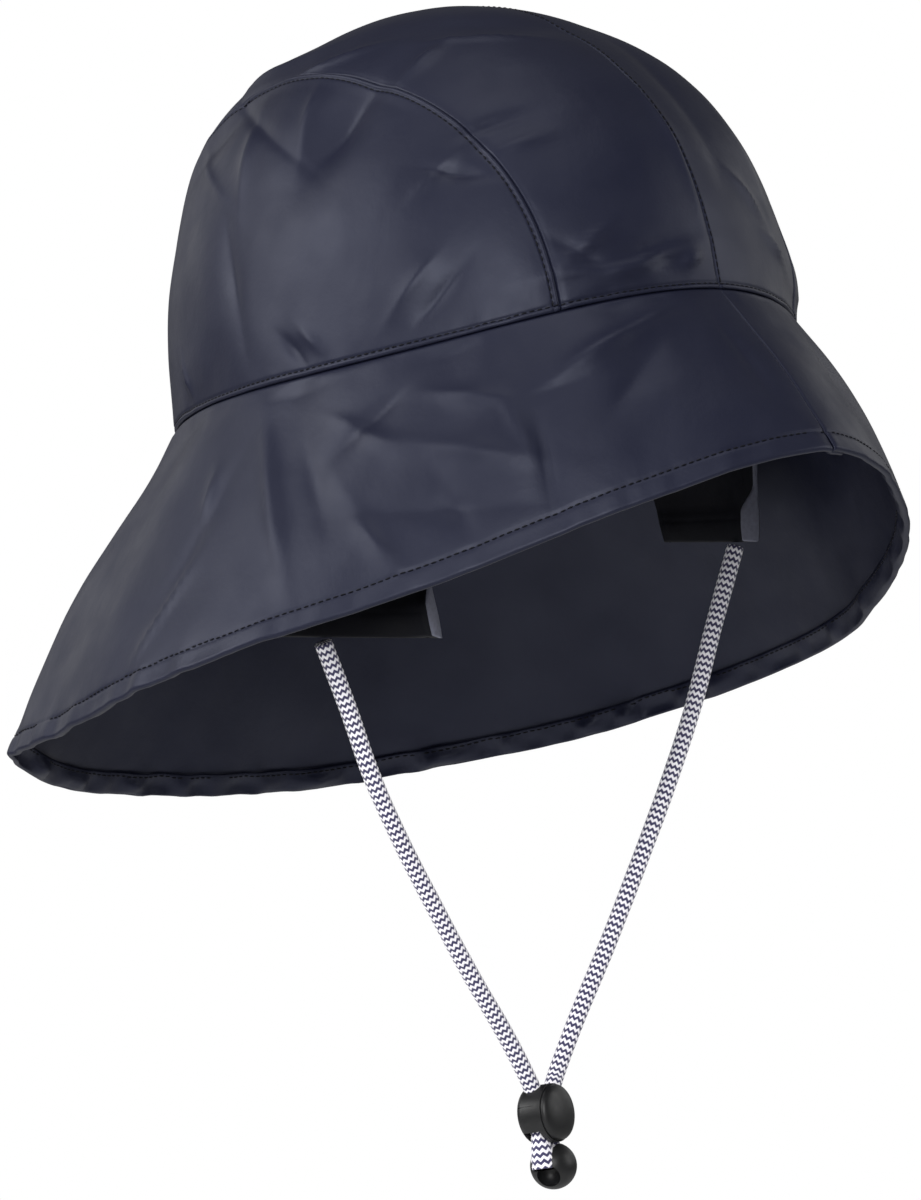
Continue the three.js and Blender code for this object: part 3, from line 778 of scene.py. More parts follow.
def top_panel_grid(side, sizes):
    """Disc places of a top panel, rows from the front to the back, columns from the centre seam outward."""
    seam_length = arc_lengths(arch_point(*side_seam(np.linspace(0, 1, 400))))[-1]
    places = shares(seam_length, EDGE_STEPS, EDGE_STEPS, 196)
    azimuth, rise = side_seam(places)
    edge = to_disc(azimuth, rise)
    level = (edge[:, 1] - edge[0, 1]) / (edge[-1, 1] - edge[0, 1])
    middle = np.stack([np.zeros_like(level), 2 * level - 1], -1)
    width = SIDE_SEAM_OFF * 1.1
    under = sizes.lap / width
    centre = shares(width, EDGE_STEPS, EDGE_STEPS, 34)
    before = [] if side > 0 else [-under, -0.5 * under, -0.0003 / width]
    v = np.concatenate([before, centre, [1 + 0.0003 / width, 1 + 0.5 * under, 1 + under]])
    q = middle[:, None] + (edge - middle)[:, None] * v[None, :, None]
    front, back = azimuth[0], azimuth[-1]
    for foot, end, weight in ((front, 0.0, (1 - level) ** 4), (back, 180.0, level ** 4)):
        arc = to_disc(end + (foot - end) * v, np.zeros_like(v))
        chord = to_disc(end, 0.0) + (to_disc(foot, 0.0) - to_disc(end, 0.0)) * v[:, None]
        q = q + (arc - chord)[None] * weight[:, None, None]
    radius = np.linalg.norm(q, axis=-1, keepdims=True)
    return q * np.minimum(1, 1 / np.maximum(radius, 1e-9)), v


def sew_panel(name, azimuth, rise, depth, sizes, welded=False):
    """Lays out a crown panel at some depth under the crown's outer face, and gives it its wall."""
    points = tilt(crown_point(azimuth, rise, depth))
    cloth = cloth_grid(name + "_cloth", points, tilt(crown_normal(azimuth, rise)))
    if welded:
        with editing(cloth) as mesh:
            mesh.remove_doubles(threshold=CROWN_WELD)
    thicken(cloth, sizes.cloth)
    finish_piece(cloth, "coated_fabric", finished("satin_coated_fabric"), name)


def build_top_panel(name, side, sizes):
    q, v = top_panel_grid(side, sizes)
    azimuth, rise = from_disc(q)
    base = arch_point(azimuth, rise)
    past_seam = np.where(base[..., 0] - seam_off(base[..., 1]) > 0, -1.0, 1.0)
    to_side = distance_to(base, side_seam_line()) * past_seam
    depth = running_under(to_side, LAP_DEPTH)
    depth += np.where(to_side > 0, 0.00012 * bell((to_side - 0.001) / 0.001), 0)
    depth += lapped_edge(crown_height(azimuth, rise), sizes.topstitch) * smooth(-0.0002, 0.0004, to_side)
    if side > 0:
        depth += plain_edge(base[..., 0])
    else:
        depth += running_under(base[..., 0], LAP_DEPTH) + np.where(v > 0, plain_edge(base[..., 0]), 0)
    azimuth = side * azimuth
    sew_panel(name, azimuth, rise, depth + crown_ripples(azimuth, rise), sizes)


def build_side_panel(name, side, sizes):
    inner_places = shares(SIDE_PANEL_LENGTH, EDGE_STEPS[1:], EDGE_STEPS[1:], 200)
    places = np.concatenate([[0], inner_places, [1]])
    seam_azimuth, rise = side_seam(places)
    seam = to_disc(seam_azimuth, rise)
    fine = np.linspace(seam_azimuth[0], seam_azimuth[-1], 1200)
    band_length = arc_lengths(seam_point(fine))
    band_azimuth = np.interp(places * band_length[-1], band_length, fine)
    rows = []
    for start, end in zip(to_disc(band_azimuth, np.zeros_like(band_azimuth)), seam):
        span = max(np.linalg.norm(end - start) * ARC, 1e-6)
        rows.append(start + (end - start) * shares(span, EDGE_STEPS, EDGE_STEPS, 84)[:, None])
    azimuth, rise = from_disc(np.array(rows))
    rise = np.maximum(rise, 0)
    to_seam = distance_to(arch_point(azimuth, rise), side_seam_line())
    height = crown_height(azimuth, rise)
    edge = lapped_edge(to_seam, sizes.topstitch * 0.85)
    depth = edge * smooth(0, 0.004, height + 0.002) + lapped_edge(height, sizes.topstitch)
    azimuth = side * azimuth
    depth += crown_ripples(azimuth, rise) * smooth(0, 0.006, to_seam)
    sew_panel(name, azimuth, rise, depth, sizes, welded=True)


def section_at(azimuth, column):
    """Flare, drop or hollow of the brim, by a smooth curve through the sections."""
    rows = np.array(BRIM_SECTIONS)[:, column]
    last = len(rows) - 1

    def at(i):
        return rows[np.where(i < 0, -i, np.where(i > last, 2 * last - i, i))]

    a = np.abs(turn(0, azimuth)) / 30
    k = np.minimum(np.floor(a).astype(int), last - 1)
    t = a - k
    start_slope = (at(k + 1) - at(k - 1)) / 2
    end_slope = (at(k + 2) - at(k)) / 2
    h = t * t * (3 - 2 * t)
    curve = at(k) + (at(k + 1) - at(k)) * h
    return curve + start_slope * t * (1 - t) ** 2 - end_slope * t * t * (1 - t)


def slant_at(azimuth):
    """The brim's length from the seam to the rim."""
    return np.hypot(section_at(azimuth, FLARE), section_at(azimuth, DROP))


def slope_point(azimuth, down):
    """The brim's outer face without waves: down is 0 at the seam and 1 at the rim."""
    a = np.radians(azimuth)
    away = np.stack([np.sin(a), -np.cos(a), np.zeros_like(a)], -1)
    out = section_at(azimuth, FLARE) * down
    hollow = section_at(azimuth, DIP) * 4 * down * (1 - down)
    p = seam_point(azimuth) + away * (out - hollow)[..., None]
    p[..., 2] -= section_at(azimuth, DROP) * down + hollow * 0.5
    return p


def slope_normal(azimuth, down):
    round_rim = slope_point(azimuth + 0.5, down) - slope_point(azimuth - 0.5, down)
    downward = slope_point(azimuth, down + 0.01) - slope_point(azimuth, down - 0.01)
    return unit(np.cross(downward, round_rim))


def brim_wave_depth(azimuth, down):
    total = np.zeros(np.shape(azimuth))
    for centre, start, end, width, depth in BRIM_WAVES:
        share = (down - start) / (end - start)
        if end >= 1:
            length = smooth(0, 0.6, share)
        else:
            length = np.where(share > 0, np.maximum(0, 1 - share), 0)
        across = np.radians(turn(centre, azimuth)) * HEAD_RADIUS * (1 + 0.5 * down)
        total += depth * bell(across / width) * length * np.clip(down / 0.06, 0, 1)
    return total


def brim_fold_depth(azimuth, down, slant):
    folds = fold_depth(FINE_BRIM_FOLDS, azimuth, down, HEAD_RADIUS * (1 + 0.5 * down), -slant, crease)
    return FINE_FOLD_GAIN * folds * np.clip(down / 0.06, 0, 1)


def hem_puckers(azimuth, from_rim):
    """Short ripples across the turned hem, strongest at the back."""
    back = 0.35 + 0.65 * smooth(60, 130, np.abs(turn(0, azimuth)))
    ripples = edge_lumps(azimuth, RIM_RADIUS, 0.0062, from_rim / 0.030, 23)
    return 0.0011 * back * ripples * bell((from_rim - 0.003) / 0.0052)


def hem_slack(azimuth, from_rim):
    """How the turned-in edge of the hem gapes and bunches between the stitches, on the underside."""
    back = 0.3 + 0.7 * smooth(50, 120, np.abs(turn(0, azimuth)))
    ripples = edge_lumps(azimuth, RIM_RADIUS, 0.0066, from_rim / 0.030, 29)
    return 0.0027 * back * np.maximum(ripples, -0.35) * bell((from_rim - 0.0036) / 0.0024)


def brim_ripples(azimuth, down, from_seam):
    p = slope_point(azimuth, down)
    soft = 0.00060 * lumps(p, 0.030, 31) + 0.00024 * lumps(p, 0.012, 37)
    sewn = 0.00034 * edge_lumps(azimuth, HEAD_RADIUS, 0.0064, from_seam / 0.018, 41)
    return (soft + sewn * np.exp(-from_seam / 0.0075)) * np.clip(from_seam / 0.002, 0, 1)

HEM_FOLD = 0.00105
HEM_TURN_STEPS = 9
HEM_INSIDE = np.array([0, 0.7, 1.5, 2.4, 3.3, 4.0, 4.6, 5.2, 5.6, 6.0, 6.4]) * 0.001
HEM_STEPS = np.array([0, 0.4, 0.9, 1.6, 2.4, 3.2, 4.0, 4.6, 5.1, 5.5, 6.0, 6.7, 7.8]) * 0.001
LAP_STEPS = np.array([1.4, 0.9, 0.45, 0.2, 0.1])


def brim_relief(azimuth, from_seam, slant, hem):
    """Depth of the waves, folds, puckers, hem groove and front seam under the brim's outer face."""
    down, from_rim = from_seam / slant, slant - from_seam
    depth = brim_wave_depth(azimuth, down) + brim_fold_depth(azimuth, down, slant)
    depth += brim_ripples(azimuth, down, from_seam) + hem_puckers(azimuth, from_rim)
    depth += 0.00030 * bell((from_rim - hem) / 0.00055)
    to_end = np.radians(360 - azimuth) * BRIM_SEAM_RADIUS
    from_start = np.radians(azimuth) * BRIM_SEAM_RADIUS
    depth += np.where(to_end > 0, 0.6 * plain_edge(np.minimum(to_end, from_start)), 0)
    return depth + running_under(to_end, LAP_DEPTH)


def lap_under_crown(azimuth, lap):
    """Points and normals of the brim's edge that runs up beneath the crown."""
    azimuth, rise = np.broadcast_arrays(azimuth, rise_at(lap * LAP_STEPS))
    normal = crown_normal(azimuth, rise)
    return arch_point(azimuth, rise) - normal * BAND_LAP_DEPTH, normal


def brim_face(azimuth, from_seam, slant, hem):
    """Points and normals of the brim's outer face."""
    azimuth, from_seam, slant = np.broadcast_arrays(azimuth, from_seam, slant)
    down = from_seam / slant
    depth = brim_relief(azimuth, from_seam, slant, hem) + running_under(from_seam, BAND_LAP_DEPTH)
    slope = slope_normal(azimuth, np.clip(down, 0.02, 0.99))
    wall = crown_normal(azimuth, np.zeros_like(azimuth))
    lean_in = smooth(-0.001, 0.0016, from_seam)[..., None]
    normal = unit(slope * lean_in + wall * (1 - lean_in))
    return slope_point(azimuth, down) - normal * depth[..., None], normal


def hem_fold(outer, normal):
    """Points and normals of the round fold at the rim."""
    angle = np.linspace(0, np.pi, HEM_TURN_STEPS + 2)[None, 1:-1, None]
    normal, tangent = normal[:, -1:], unit(outer[:, -1:] - outer[:, -2:-1])
    centre = outer[:, -1:] - normal * HEM_FOLD
    outward = normal * np.cos(angle) + tangent * np.sin(angle)
    return centre + outward * HEM_FOLD, outward


def hem_inside(azimuth, slant, hem):
    """Points and normals of the cloth turned in at the rim, up to its edge."""
    azimuth, slant, from_rim = np.broadcast_arrays(azimuth, slant, HEM_FOLD + HEM_INSIDE)
    from_seam = slant - from_rim
    down = from_seam / slant
    closing = 2 * HEM_FOLD - 0.00055 * smooth(0.0065, 0.0078, from_rim)
    closing = closing - 0.0004 * bell((from_rim - hem) / 0.0006) + hem_slack(azimuth, from_rim)
    depth = brim_relief(azimuth, from_seam, slant, hem) + closing
    normal = slope_normal(azimuth, np.clip(down, 0.02, 0.99))
    return slope_point(azimuth, down) - normal * depth[..., None], -normal


def build_brim(sizes):
    """The brim: under the crown's edge, down the slope, round the rim and up into its hem."""
    lap_angle = math.degrees(sizes.lap / HEAD_RADIUS)
    azimuth = shares(2 * math.pi * BRIM_RADIUS, EDGE_STEPS, EDGE_STEPS, 400) * 360
    azimuth = np.concatenate([azimuth, [360.15, 360 + 0.5 * lap_angle, 360 + lap_angle]])[:, None]
    slant = slant_at(azimuth)
    reach = slant - HEM_FOLD
    last = reach.min()
    run = shares(last, EDGE_STEPS[::2], HEM_STEPS, 46)
    blend = smooth(0.25, 0.75, run)
    from_seam = last * run * (1 - blend) + (reach - last * (1 - run)) * blend
    face = brim_face(azimuth, from_seam, slant, sizes.hem)
    stretches = (lap_under_crown(azimuth, sizes.lap), face, hem_fold(*face),
                 hem_inside(azimuth, slant, sizes.hem))
    points, outward = (np.concatenate(parts, 1) for parts in zip(*stretches))
    cloth = cloth_grid("brim_cloth", tilt(points), tilt(outward))
    thicken(cloth, sizes.cloth)
    finish_piece(cloth, "coated_fabric", finished("satin_coated_fabric"), "brim")


def flap_width():
    return math.radians(FLAP_BACK - FLAP_FRONT) * HEAD_RADIUS


def flap_point(name, azimuth, down, inset):
    """An ear flap: sewn in at the head opening, its bottom level, its front bottom corner turned in."""
    side = 1 if name == "left" else -1
    forward = FLAP_LEAN * (1 - down) * (FLAP_BACK - azimuth) / (FLAP_BACK - FLAP_FRONT)
    foot = seam_point(side * (azimuth - forward))
    away = unit(np.stack([foot[..., 0] / HEAD_WIDTH ** 2, foot[..., 1] / HEAD_LENGTH ** 2,
                          np.zeros_like(foot[..., 0])], -1))
    share = (azimuth - FLAP_FRONT) / (FLAP_BACK - FLAP_FRONT)
    bottom = (-FLAP_DROP[name] + math.sin(TILT) * foot[..., 1]) / math.cos(TILT)
    z = foot[..., 2] + FLAP_TOP + (bottom - foot[..., 2] - FLAP_TOP) * down
    hang = np.maximum(0, (foot[..., 2] - z) / (foot[..., 2] - bottom))
    out = (FLAP_OUT - FLAP_CURL[name] * (1 - np.clip(share, 0, 1)) ** 4) * hang
    p = np.stack([foot[..., 0] + side * out, foot[..., 1], z], -1)
    set_in = (FLAP_CLOTH + FLAP_SEAT + inset) * (1 + 0.4 * (1 - hang) * (z < foot[..., 2]))
    return p - away * set_in[..., None]


FLAP_STEPS = np.array(
    [0, 0.2, 0.4, 0.7, 1, 1.5, 2.1, 2.9, 3.7, 4.5, 5.3, 6, 6.5, 7, 7.5, 8.2, 9.2]) * 0.001


def half_flap(from_side, from_bottom):
    """Half a flap's thickness: cloth, the swell of its tunnel hem, its sewn rows and its rounded edges."""
    tunnel = (FLAP_HEM_WALL - FLAP_WALL) / 2
    swell = tunnel * np.sin(np.clip(from_bottom / (1.5 * FLAP_HEM), 0, 1) * np.pi)
    swell = swell - 0.00012 * bell((from_bottom - FLAP_HEM) / 0.0006)
    swell = swell * (0.55 + 0.45 * smooth(0, 0.002, from_side))
    swell = swell - 0.00010 * bell((from_side - 0.0022) / 0.0005)
    pinch = (FLAP_WALL / 2) * rounded(np.minimum(from_side, from_bottom) / 0.0006)
    return FLAP_WALL / 2 + swell - pinch * 0.96


def build_flap(name, piece_name):
    """A closed wall of cloth with a tunnel hem along its bottom and narrow turned edges.

    Its grid is folded once round the flap: outer face from the back edge forward, inner face back again."""
    height = FLAP_TOP + FLAP_DROP[name]
    width = flap_width()
    u = shares(width, EDGE_STEPS, EDGE_STEPS, 30)
    v = shares(height, [0], FLAP_STEPS, int(height / 0.0016))
    azimuth = np.repeat((FLAP_FRONT + (FLAP_BACK - FLAP_FRONT) * u)[:, None], len(v), 1)
    down = np.repeat(v[None], len(u), 0)
    from_bottom = (1 - down) * height
    from_front = u[:, None] * width + np.zeros_like(down)
    half = half_flap(np.minimum(from_front, width - from_front), from_bottom)
    base = flap_point(name, azimuth, down, np.full_like(down, FLAP_WALL / 2))
    soft = (0.0007 * lumps(base, 0.020, 51) + 0.00025 * lumps(base, 0.007, 53)) * smooth(0, 0.25, down)
    mouth = smooth(0.0160, 0.0085, from_bottom) * smooth(0, 0.0005, from_bottom) * bell(from_front / 0.0034)
    outward, inward = FLAP_MOUTH[name]
    outer = flap_point(name, azimuth, down, FLAP_WALL / 2 - half + soft - outward * mouth)
    inner = flap_point(name, azimuth, down, FLAP_WALL / 2 + half + soft + inward * mouth)
    points = tilt(np.concatenate([outer[::-1], inner], 0))
    cloth = cloth_grid(piece_name, points)
    choose(cloth)
    lit_turned_edge = close_flap(cloth, len(u), len(v))
    bpy.ops.object.shade_smooth()
    # The flap's colour is darkened as painted shade for the shadow it hangs in under the brim
    finish_piece(cloth, "coated_fabric", finished("dull_dark_cloth"), "ear_flap_" + name)
    # The front edge gets the lighter uncoated-side colour, also as a painted highlight where light catches it
    cloth.data.materials.append(finished("cloth_reverse"))
    cloth.data.polygons.foreach_set("material_index", lit_turned_edge)
    cloth.data.update()
    return cloth


def close_flap(cloth, rows, columns):
    """Closes the folded grid along its top, bottom and back edge, and turns its faces outward.

    Returns 1 for each face of the front edge, where the uncoated side of the cloth shows and its light colour
    also serves as a painted highlight where light catches that edge, and 0 for the others."""
    mesh = cloth.data
    for face in mesh.polygons:
        lines = [k // columns for k in face.vertices]
        face.material_index = int(rows - 4 <= min(lines) and max(lines) <= rows + 3)
    faces = []
    for column in (0, columns - 1):
        for r in range(rows - 1):
            a = r * columns + column
            b = (r + 1) * columns + column
            c = (2 * rows - 2 - r) * columns + column
            d = (2 * rows - 1 - r) * columns + column
            faces.append((a, b, c, d) if column else (d, c, b, a))
    for c in range(columns - 1):
        first, last = c, (2 * rows - 1) * columns + c
        faces.append((first, first + 1, last + 1, last))
    work = bmesh.new()
    work.from_mesh(mesh)
    work.verts.ensure_lookup_table()
    for face in faces:
        corners = []
        for k in face:
            if work.verts[k] not in corners:
                corners.append(work.verts[k])
        if len(corners) > 2 and not work.faces.get(corners):
            work.faces.new(corners)
    bmesh.ops.remove_doubles(work, verts=work.verts, dist=WELD)
    bmesh.ops.recalc_face_normals(work, faces=work.faces)
    work.to_mesh(mesh)
    work.free()
    mesh.update()
    return [face.material_index for face in mesh.polygons]


def lock_matrix():
    """The toggle's own frame: x along the drum toward the button, y across it, z along the cord hole."""
    turned = Matrix.Rotation(LOCK_TURN - math.pi / 2, 4, "Z") @ Matrix.Rotation(-LOCK_LIFT, 4, "Y")
    return Matrix.Translation(LOCK_PLACE) @ turned


def along_line(places, length, line):
    """Points of a line at some lengths along it."""
    return np.stack([np.interp(places, length, line[:, k]) for k in range(3)], -1)


def smooth_curve(points, steps):
    """A centripetal curve through the points, with even steps along it."""
    pts = np.array(points, float)
    pts = np.vstack([2 * pts[0] - pts[1], pts, 2 * pts[-1] - pts[-2]])
    fine = []
    for k in range(1, len(pts) - 2):
        p0, p1, p2, p3 = pts[k - 1:k + 3]
        t0, t1, t2 = (max(np.linalg.norm(b - a) ** 0.5, 1e-6) for a, b in ((p0, p1), (p1, p2), (p2, p3)))
        m1 = ((p1 - p0) / t0 - (p2 - p0) / (t0 + t1) + (p2 - p1) / t1) * t1
        m2 = ((p2 - p1) / t1 - (p3 - p1) / (t1 + t2) + (p3 - p2) / t2) * t1
        t = np.linspace(0, 1, 60, endpoint=False)[:, None]
        fine.append((2 * t ** 3 - 3 * t ** 2 + 1) * p1 + (t ** 3 - 2 * t ** 2 + t) * m1
                    + (-2 * t ** 3 + 3 * t ** 2) * p2 + (t ** 3 - t ** 2) * m2)
    fine = np.vstack([*fine, pts[-2:-1]])
    length = arc_lengths(fine)
    even = np.linspace(0, length[-1], steps + 1)
    return along_line(even, length, fine), length[-1]


def cord_path(name):
    """The cord's centre line from the flap's hem through the toggle into the ball."""
    side = 1 if name == "left" else -1
    start = tilt(flap_point(name, np.array([FLAP_CORD[name]]), np.array([1.0]), np.array([FLAP_WALL / 2])))[0]
    start[2] -= CORD_GAP
    lock = lock_matrix()
    in_lock = [np.array(lock @ Vector((0, side * across, level))) for across, level in CORD_IN_LOCK[name]]
    span = in_lock[0] - start
    hanging = [start + span * np.array([reach, reach, fall]) for fall, reach in CORD_ROUTE]
    return [start, *hanging, *in_lock]


def build_cord(name, sizes):
    """One strand of the chin cord: a round braid whose yarns stand a little proud."""
    points = cord_path(name)
    _, length = smooth_curve(points, 10)
    rings = int(length / CORD_STEP)
    centre, length = smooth_curve(points, rings)
    tangent = unit(np.gradient(centre, axis=0))
    across = np.zeros_like(centre)
    across[0] = unit(np.cross(tangent[0], [0, 1, 0]))
    for k in range(1, len(centre)):
        across[k] = unit(across[k - 1] - tangent[k] * (across[k - 1] @ tangent[k]))
    other = np.cross(tangent, across)
    angle = np.linspace(0, 2 * np.pi, CORD_SIDES + 1)
    share = angle / (2 * np.pi)
    along = np.linspace(0, length, len(centre))
    tooth = 1 - np.abs((share * sizes.braid_teeth * 2) % 2 - 1)
    row = along[:, None] / sizes.braid_row + BRAID_TOOTH * tooth[None]
    yarn = np.abs(((row + 0.09) % 1) - 0.5) * 2
    radius = CORD / 2 - 0.00016 + 0.00022 * yarn ** 0.7
    radius = radius * (1 + 0.012 * lumps(np.stack([along / 0.011, along * 0, along * 0], -1), 1, 61))[:, None]
    radius = radius * (1 + CORD_FLARE[name] * smooth(0.0105, 0.0010, length - along) ** 0.8)[:, None]
    outward = (across[:, None] * (radius * np.cos(angle))[..., None]
               + other[:, None] * (radius * np.sin(angle))[..., None])
    texture = np.stack(np.broadcast_arrays(share[None], along[:, None]), -1)
    cord = cloth_grid("chin_cord_" + name + "_braid", centre[:, None] + outward, outward, texture)
    with editing(cord) as mesh:
        mesh.remove_doubles(threshold=WELD)
        mesh.select_all(action="DESELECT")
        mesh.select_non_manifold()
        mesh.fill_holes(sides=0)
        mesh.select_all(action="SELECT")
        mesh.normals_make_consistent(inside=False)
    bpy.ops.object.shade_smooth()
    finish_piece(cord, "braided_cord", finished("zigzag_braid"), "chin_cord_" + name)
    return cord, centre, length


def select_parts(piece, kind, wanted):
    """Selects, in edit mode, faces by wanted(centre, normal) or edges by wanted(start, end)."""
    bpy.ops.object.mode_set(mode="EDIT")
    bpy.ops.mesh.select_mode(type=kind)
    bpy.ops.mesh.select_all(action="DESELECT")
    bpy.ops.object.mode_set(mode="OBJECT")
    mesh = piece.data
    if kind == "FACE":
        for face in mesh.polygons:
            face.select = bool(wanted(face.center, face.normal))
    else:
        for edge in mesh.edges:
            edge.select = bool(wanted(*(mesh.vertices[k].co for k in edge.vertices)))
    bpy.ops.object.mode_set(mode="EDIT")


def cut_away(piece, cutter):
    apply_modifier(piece, "BOOLEAN", operation="DIFFERENCE", solver="EXACT", object=cutter)
    bpy.data.objects.remove(cutter)


def soften(piece, width, segments):
    apply_modifier(piece, "BEVEL", width=width, segments=segments, limit_method="ANGLE",
                   angle_limit=math.radians(40), use_clamp_overlap=True)
    bpy.ops.object.shade_smooth_by_angle(angle=math.radians(32))


def finish_in_lock(piece, node_name, body="hat", from_z_axis=False):
    """Puts a piece modelled about the origin into the toggle's frame; a turned one has its axis along z."""
    matrix = lock_matrix()
    if from_z_axis:
        matrix = matrix @ Matrix.Rotation(math.pi / 2, 4, "Y")
    piece.data.transform(matrix)
    piece.matrix_world = Matrix.Identity(4)
    finish_piece(piece, "black_plastic", finished("moulded_plastic"), node_name, body=body)


def apply_place(piece):
    choose(piece)
    bpy.ops.object.transform_apply(location=True, rotation=True, scale=True)


def primitive(name, add, **settings):
    """A primitive with its place applied."""
    deselect()
    add(**settings)
    piece = bpy.context.active_object
    piece.name = name
    apply_place(piece)
    return piece


def cylinder(name, radius, low, high, vertices=96):
    return primitive(name, bpy.ops.mesh.primitive_cylinder_add, vertices=vertices, radius=radius,
                     depth=high - low, location=(0, 0, (high + low) / 2))


def sphere(name, segments, rings, radius, place):
    return primitive(name, bpy.ops.mesh.primitive_uv_sphere_add, segments=segments, ring_count=rings,
                     radius=radius, location=place)


def extrude_up(height):
    bpy.ops.mesh.extrude_region_move(TRANSFORM_OT_translate={"value": (0, 0, height)})


def faces_up(centre, normal):
    return normal.z > 0.9


def cord_hole_cutter():
    """A slot through the drum that widens upward to let the strands spread."""
    bottom = -DRUM
    right, left, level = FUNNEL[0]
    bpy.ops.mesh.primitive_cube_add(size=1)
    cutter = bpy.context.active_object
    cutter.scale = (CORD_HOLE, left + right, level - bottom)
    cutter.location = (0, (left - right) / 2, (level + bottom) / 2)
    apply_place(cutter)
    for next_right, next_left, next_level in FUNNEL[1:]:
        top = max(v.co.z for v in cutter.data.vertices)
        select_parts(cutter, "FACE", lambda centre, normal: (
            faces_up(centre, normal) and abs(centre.z - top) < NEAR))
        extrude_up(next_level - level)
        share = (next_left + next_right) / (left + right)
        bpy.ops.transform.resize(value=(1, share, 1), center_override=(0, (left - right) / 2, next_level))
        bpy.ops.transform.translate(value=(0, (next_left - next_right - left + right) / 2, 0))
        right, left, level = next_right, next_left, next_level
    bpy.ops.object.mode_set(mode="OBJECT")
    return cutter


def build_drum():
    """The toggle's body: a short drum with a rounded closed back, a seat for the button and a cord hole."""
    drum = cylinder("cord_lock_body_drum", DRUM / 2, -DRUM_BACK, DRUM_FRONT)
    select_parts(drum, "FACE", faces_up)
    bpy.ops.mesh.inset(thickness=(DRUM - CUP) / 2)
    extrude_up(-CUP_DEEP)
    select_parts(drum, "EDGE", lambda a, b: max(a.z, b.z) < -DRUM_BACK + NEAR)
    bpy.ops.mesh.bevel(offset=0.0024, segments=8, profile=0.5)
    select_parts(drum, "EDGE", lambda a, b: (
        min(a.z, b.z) > DRUM_FRONT - NEAR and abs(a.xy.length - b.xy.length) < 1e-5))
    bpy.ops.mesh.bevel(offset=0.0001, segments=2, profile=0.5, clamp_overlap=True)
    bpy.ops.object.mode_set(mode="OBJECT")
    drum.data.transform(Matrix.Rotation(math.pi / 2, 4, "Y"))
    cut_away(drum, cord_hole_cutter())
    soften(drum, 0.00016, 2)
    finish_in_lock(drum, "cord_lock_body")


def build_button():
    """The push button: a straight rim and a domed face."""
    back = DRUM_FRONT - BUTTON_SEATED
    rim = DRUM_FRONT + BUTTON_RIM
    button = cylinder("cord_lock_button_dome", BUTTON / 2, back, rim)
    select_parts(button, "FACE", faces_up)
    radius, height, rings = BUTTON / 2, 0.0, 12
    for k in range(1, rings):
        angle = (k / rings) * math.pi / 2
        next_radius, next_height = BUTTON / 2 * math.cos(angle), BUTTON_DOME * math.sin(angle)
        extrude_up(next_height - height)
        share = next_radius / radius
        bpy.ops.transform.resize(value=(share, share, 1), center_override=(0, 0, rim + next_height))
        radius, height = next_radius, next_height
    bpy.ops.mesh.poke(offset=BUTTON_DOME - height)
    select_parts(button, "EDGE", lambda a, b: max(a.z, b.z) < back + NEAR)
    bpy.ops.mesh.bevel(offset=0.0003, segments=3, profile=0.5)
    choose(button)
    bpy.ops.object.shade_smooth_by_angle(angle=math.radians(40))
    finish_in_lock(button, "cord_lock_button", "button", from_z_axis=True)


def build_ball():
    """The ball at the cord's end, with the slot that takes both cord ends."""
    ball = sphere("cord_end_ball_moulded", 72, 40, BALL / 2, (0, BALL_SIDE, BALL_LEVEL))
    slot = cylinder("slot", NOTCH / 2, NOTCH_FLOOR, NOTCH_FLOOR + 0.020, 48)
    half = NOTCH_HALF - NOTCH / 2
    with editing(slot) as mesh:
        mesh.bisect(plane_co=(0, 0, 0), plane_no=(0, 1, 0), use_fill=False)
    for v in slot.data.vertices:
        v.co.y += half if v.co.y > NEAR else -half if v.co.y < -NEAR else 0
    cut_away(ball, slot)
    cut_away(ball, sphere("mouth", 48, 24, MOUTH / 2, MOUTH_PLACE))
    soften(ball, 0.0003, 3)
    finish_in_lock(ball, "cord_end_ball")


def surface_of(*pieces):
    """A search tree over the faces of some pieces."""
    vertices, faces = [], []
    for piece in pieces:
        start = len(vertices)
        vertices.extend(v.co.copy() for v in piece.data.vertices)
        faces.extend([k + start for k in f.vertices] for f in piece.data.polygons)
    return BVHTree.FromPolygons(vertices, faces)


def one_stitch(sizes):
    """Vertices and faces of one stitch along x: a short thread that dips into the cloth at both ends."""
    deselect()
    bpy.ops.mesh.primitive_uv_sphere_add(segments=8, ring_count=8, radius=0.5)
    bead = bpy.context.active_object
    co = np.array([v.co for v in bead.data.vertices])
    faces = [list(f.vertices) for f in bead.data.polygons]
    bpy.data.objects.remove(bead)
    along = co[:, 2]
    bulge = np.clip(1 - (2 * along) ** 2, 0, 1) ** 0.25
    ring = unit(co[:, :2]) * np.where(np.abs(along) > 0.499, 0, 0.5 * bulge)[:, None]
    x = along * sizes.stitch
    z = ring[:, 1] * sizes.thread + sizes.thread * (0.20 - 1.5 * along ** 2)
    return np.stack([x, ring[:, 0] * sizes.thread, z], -1), faces


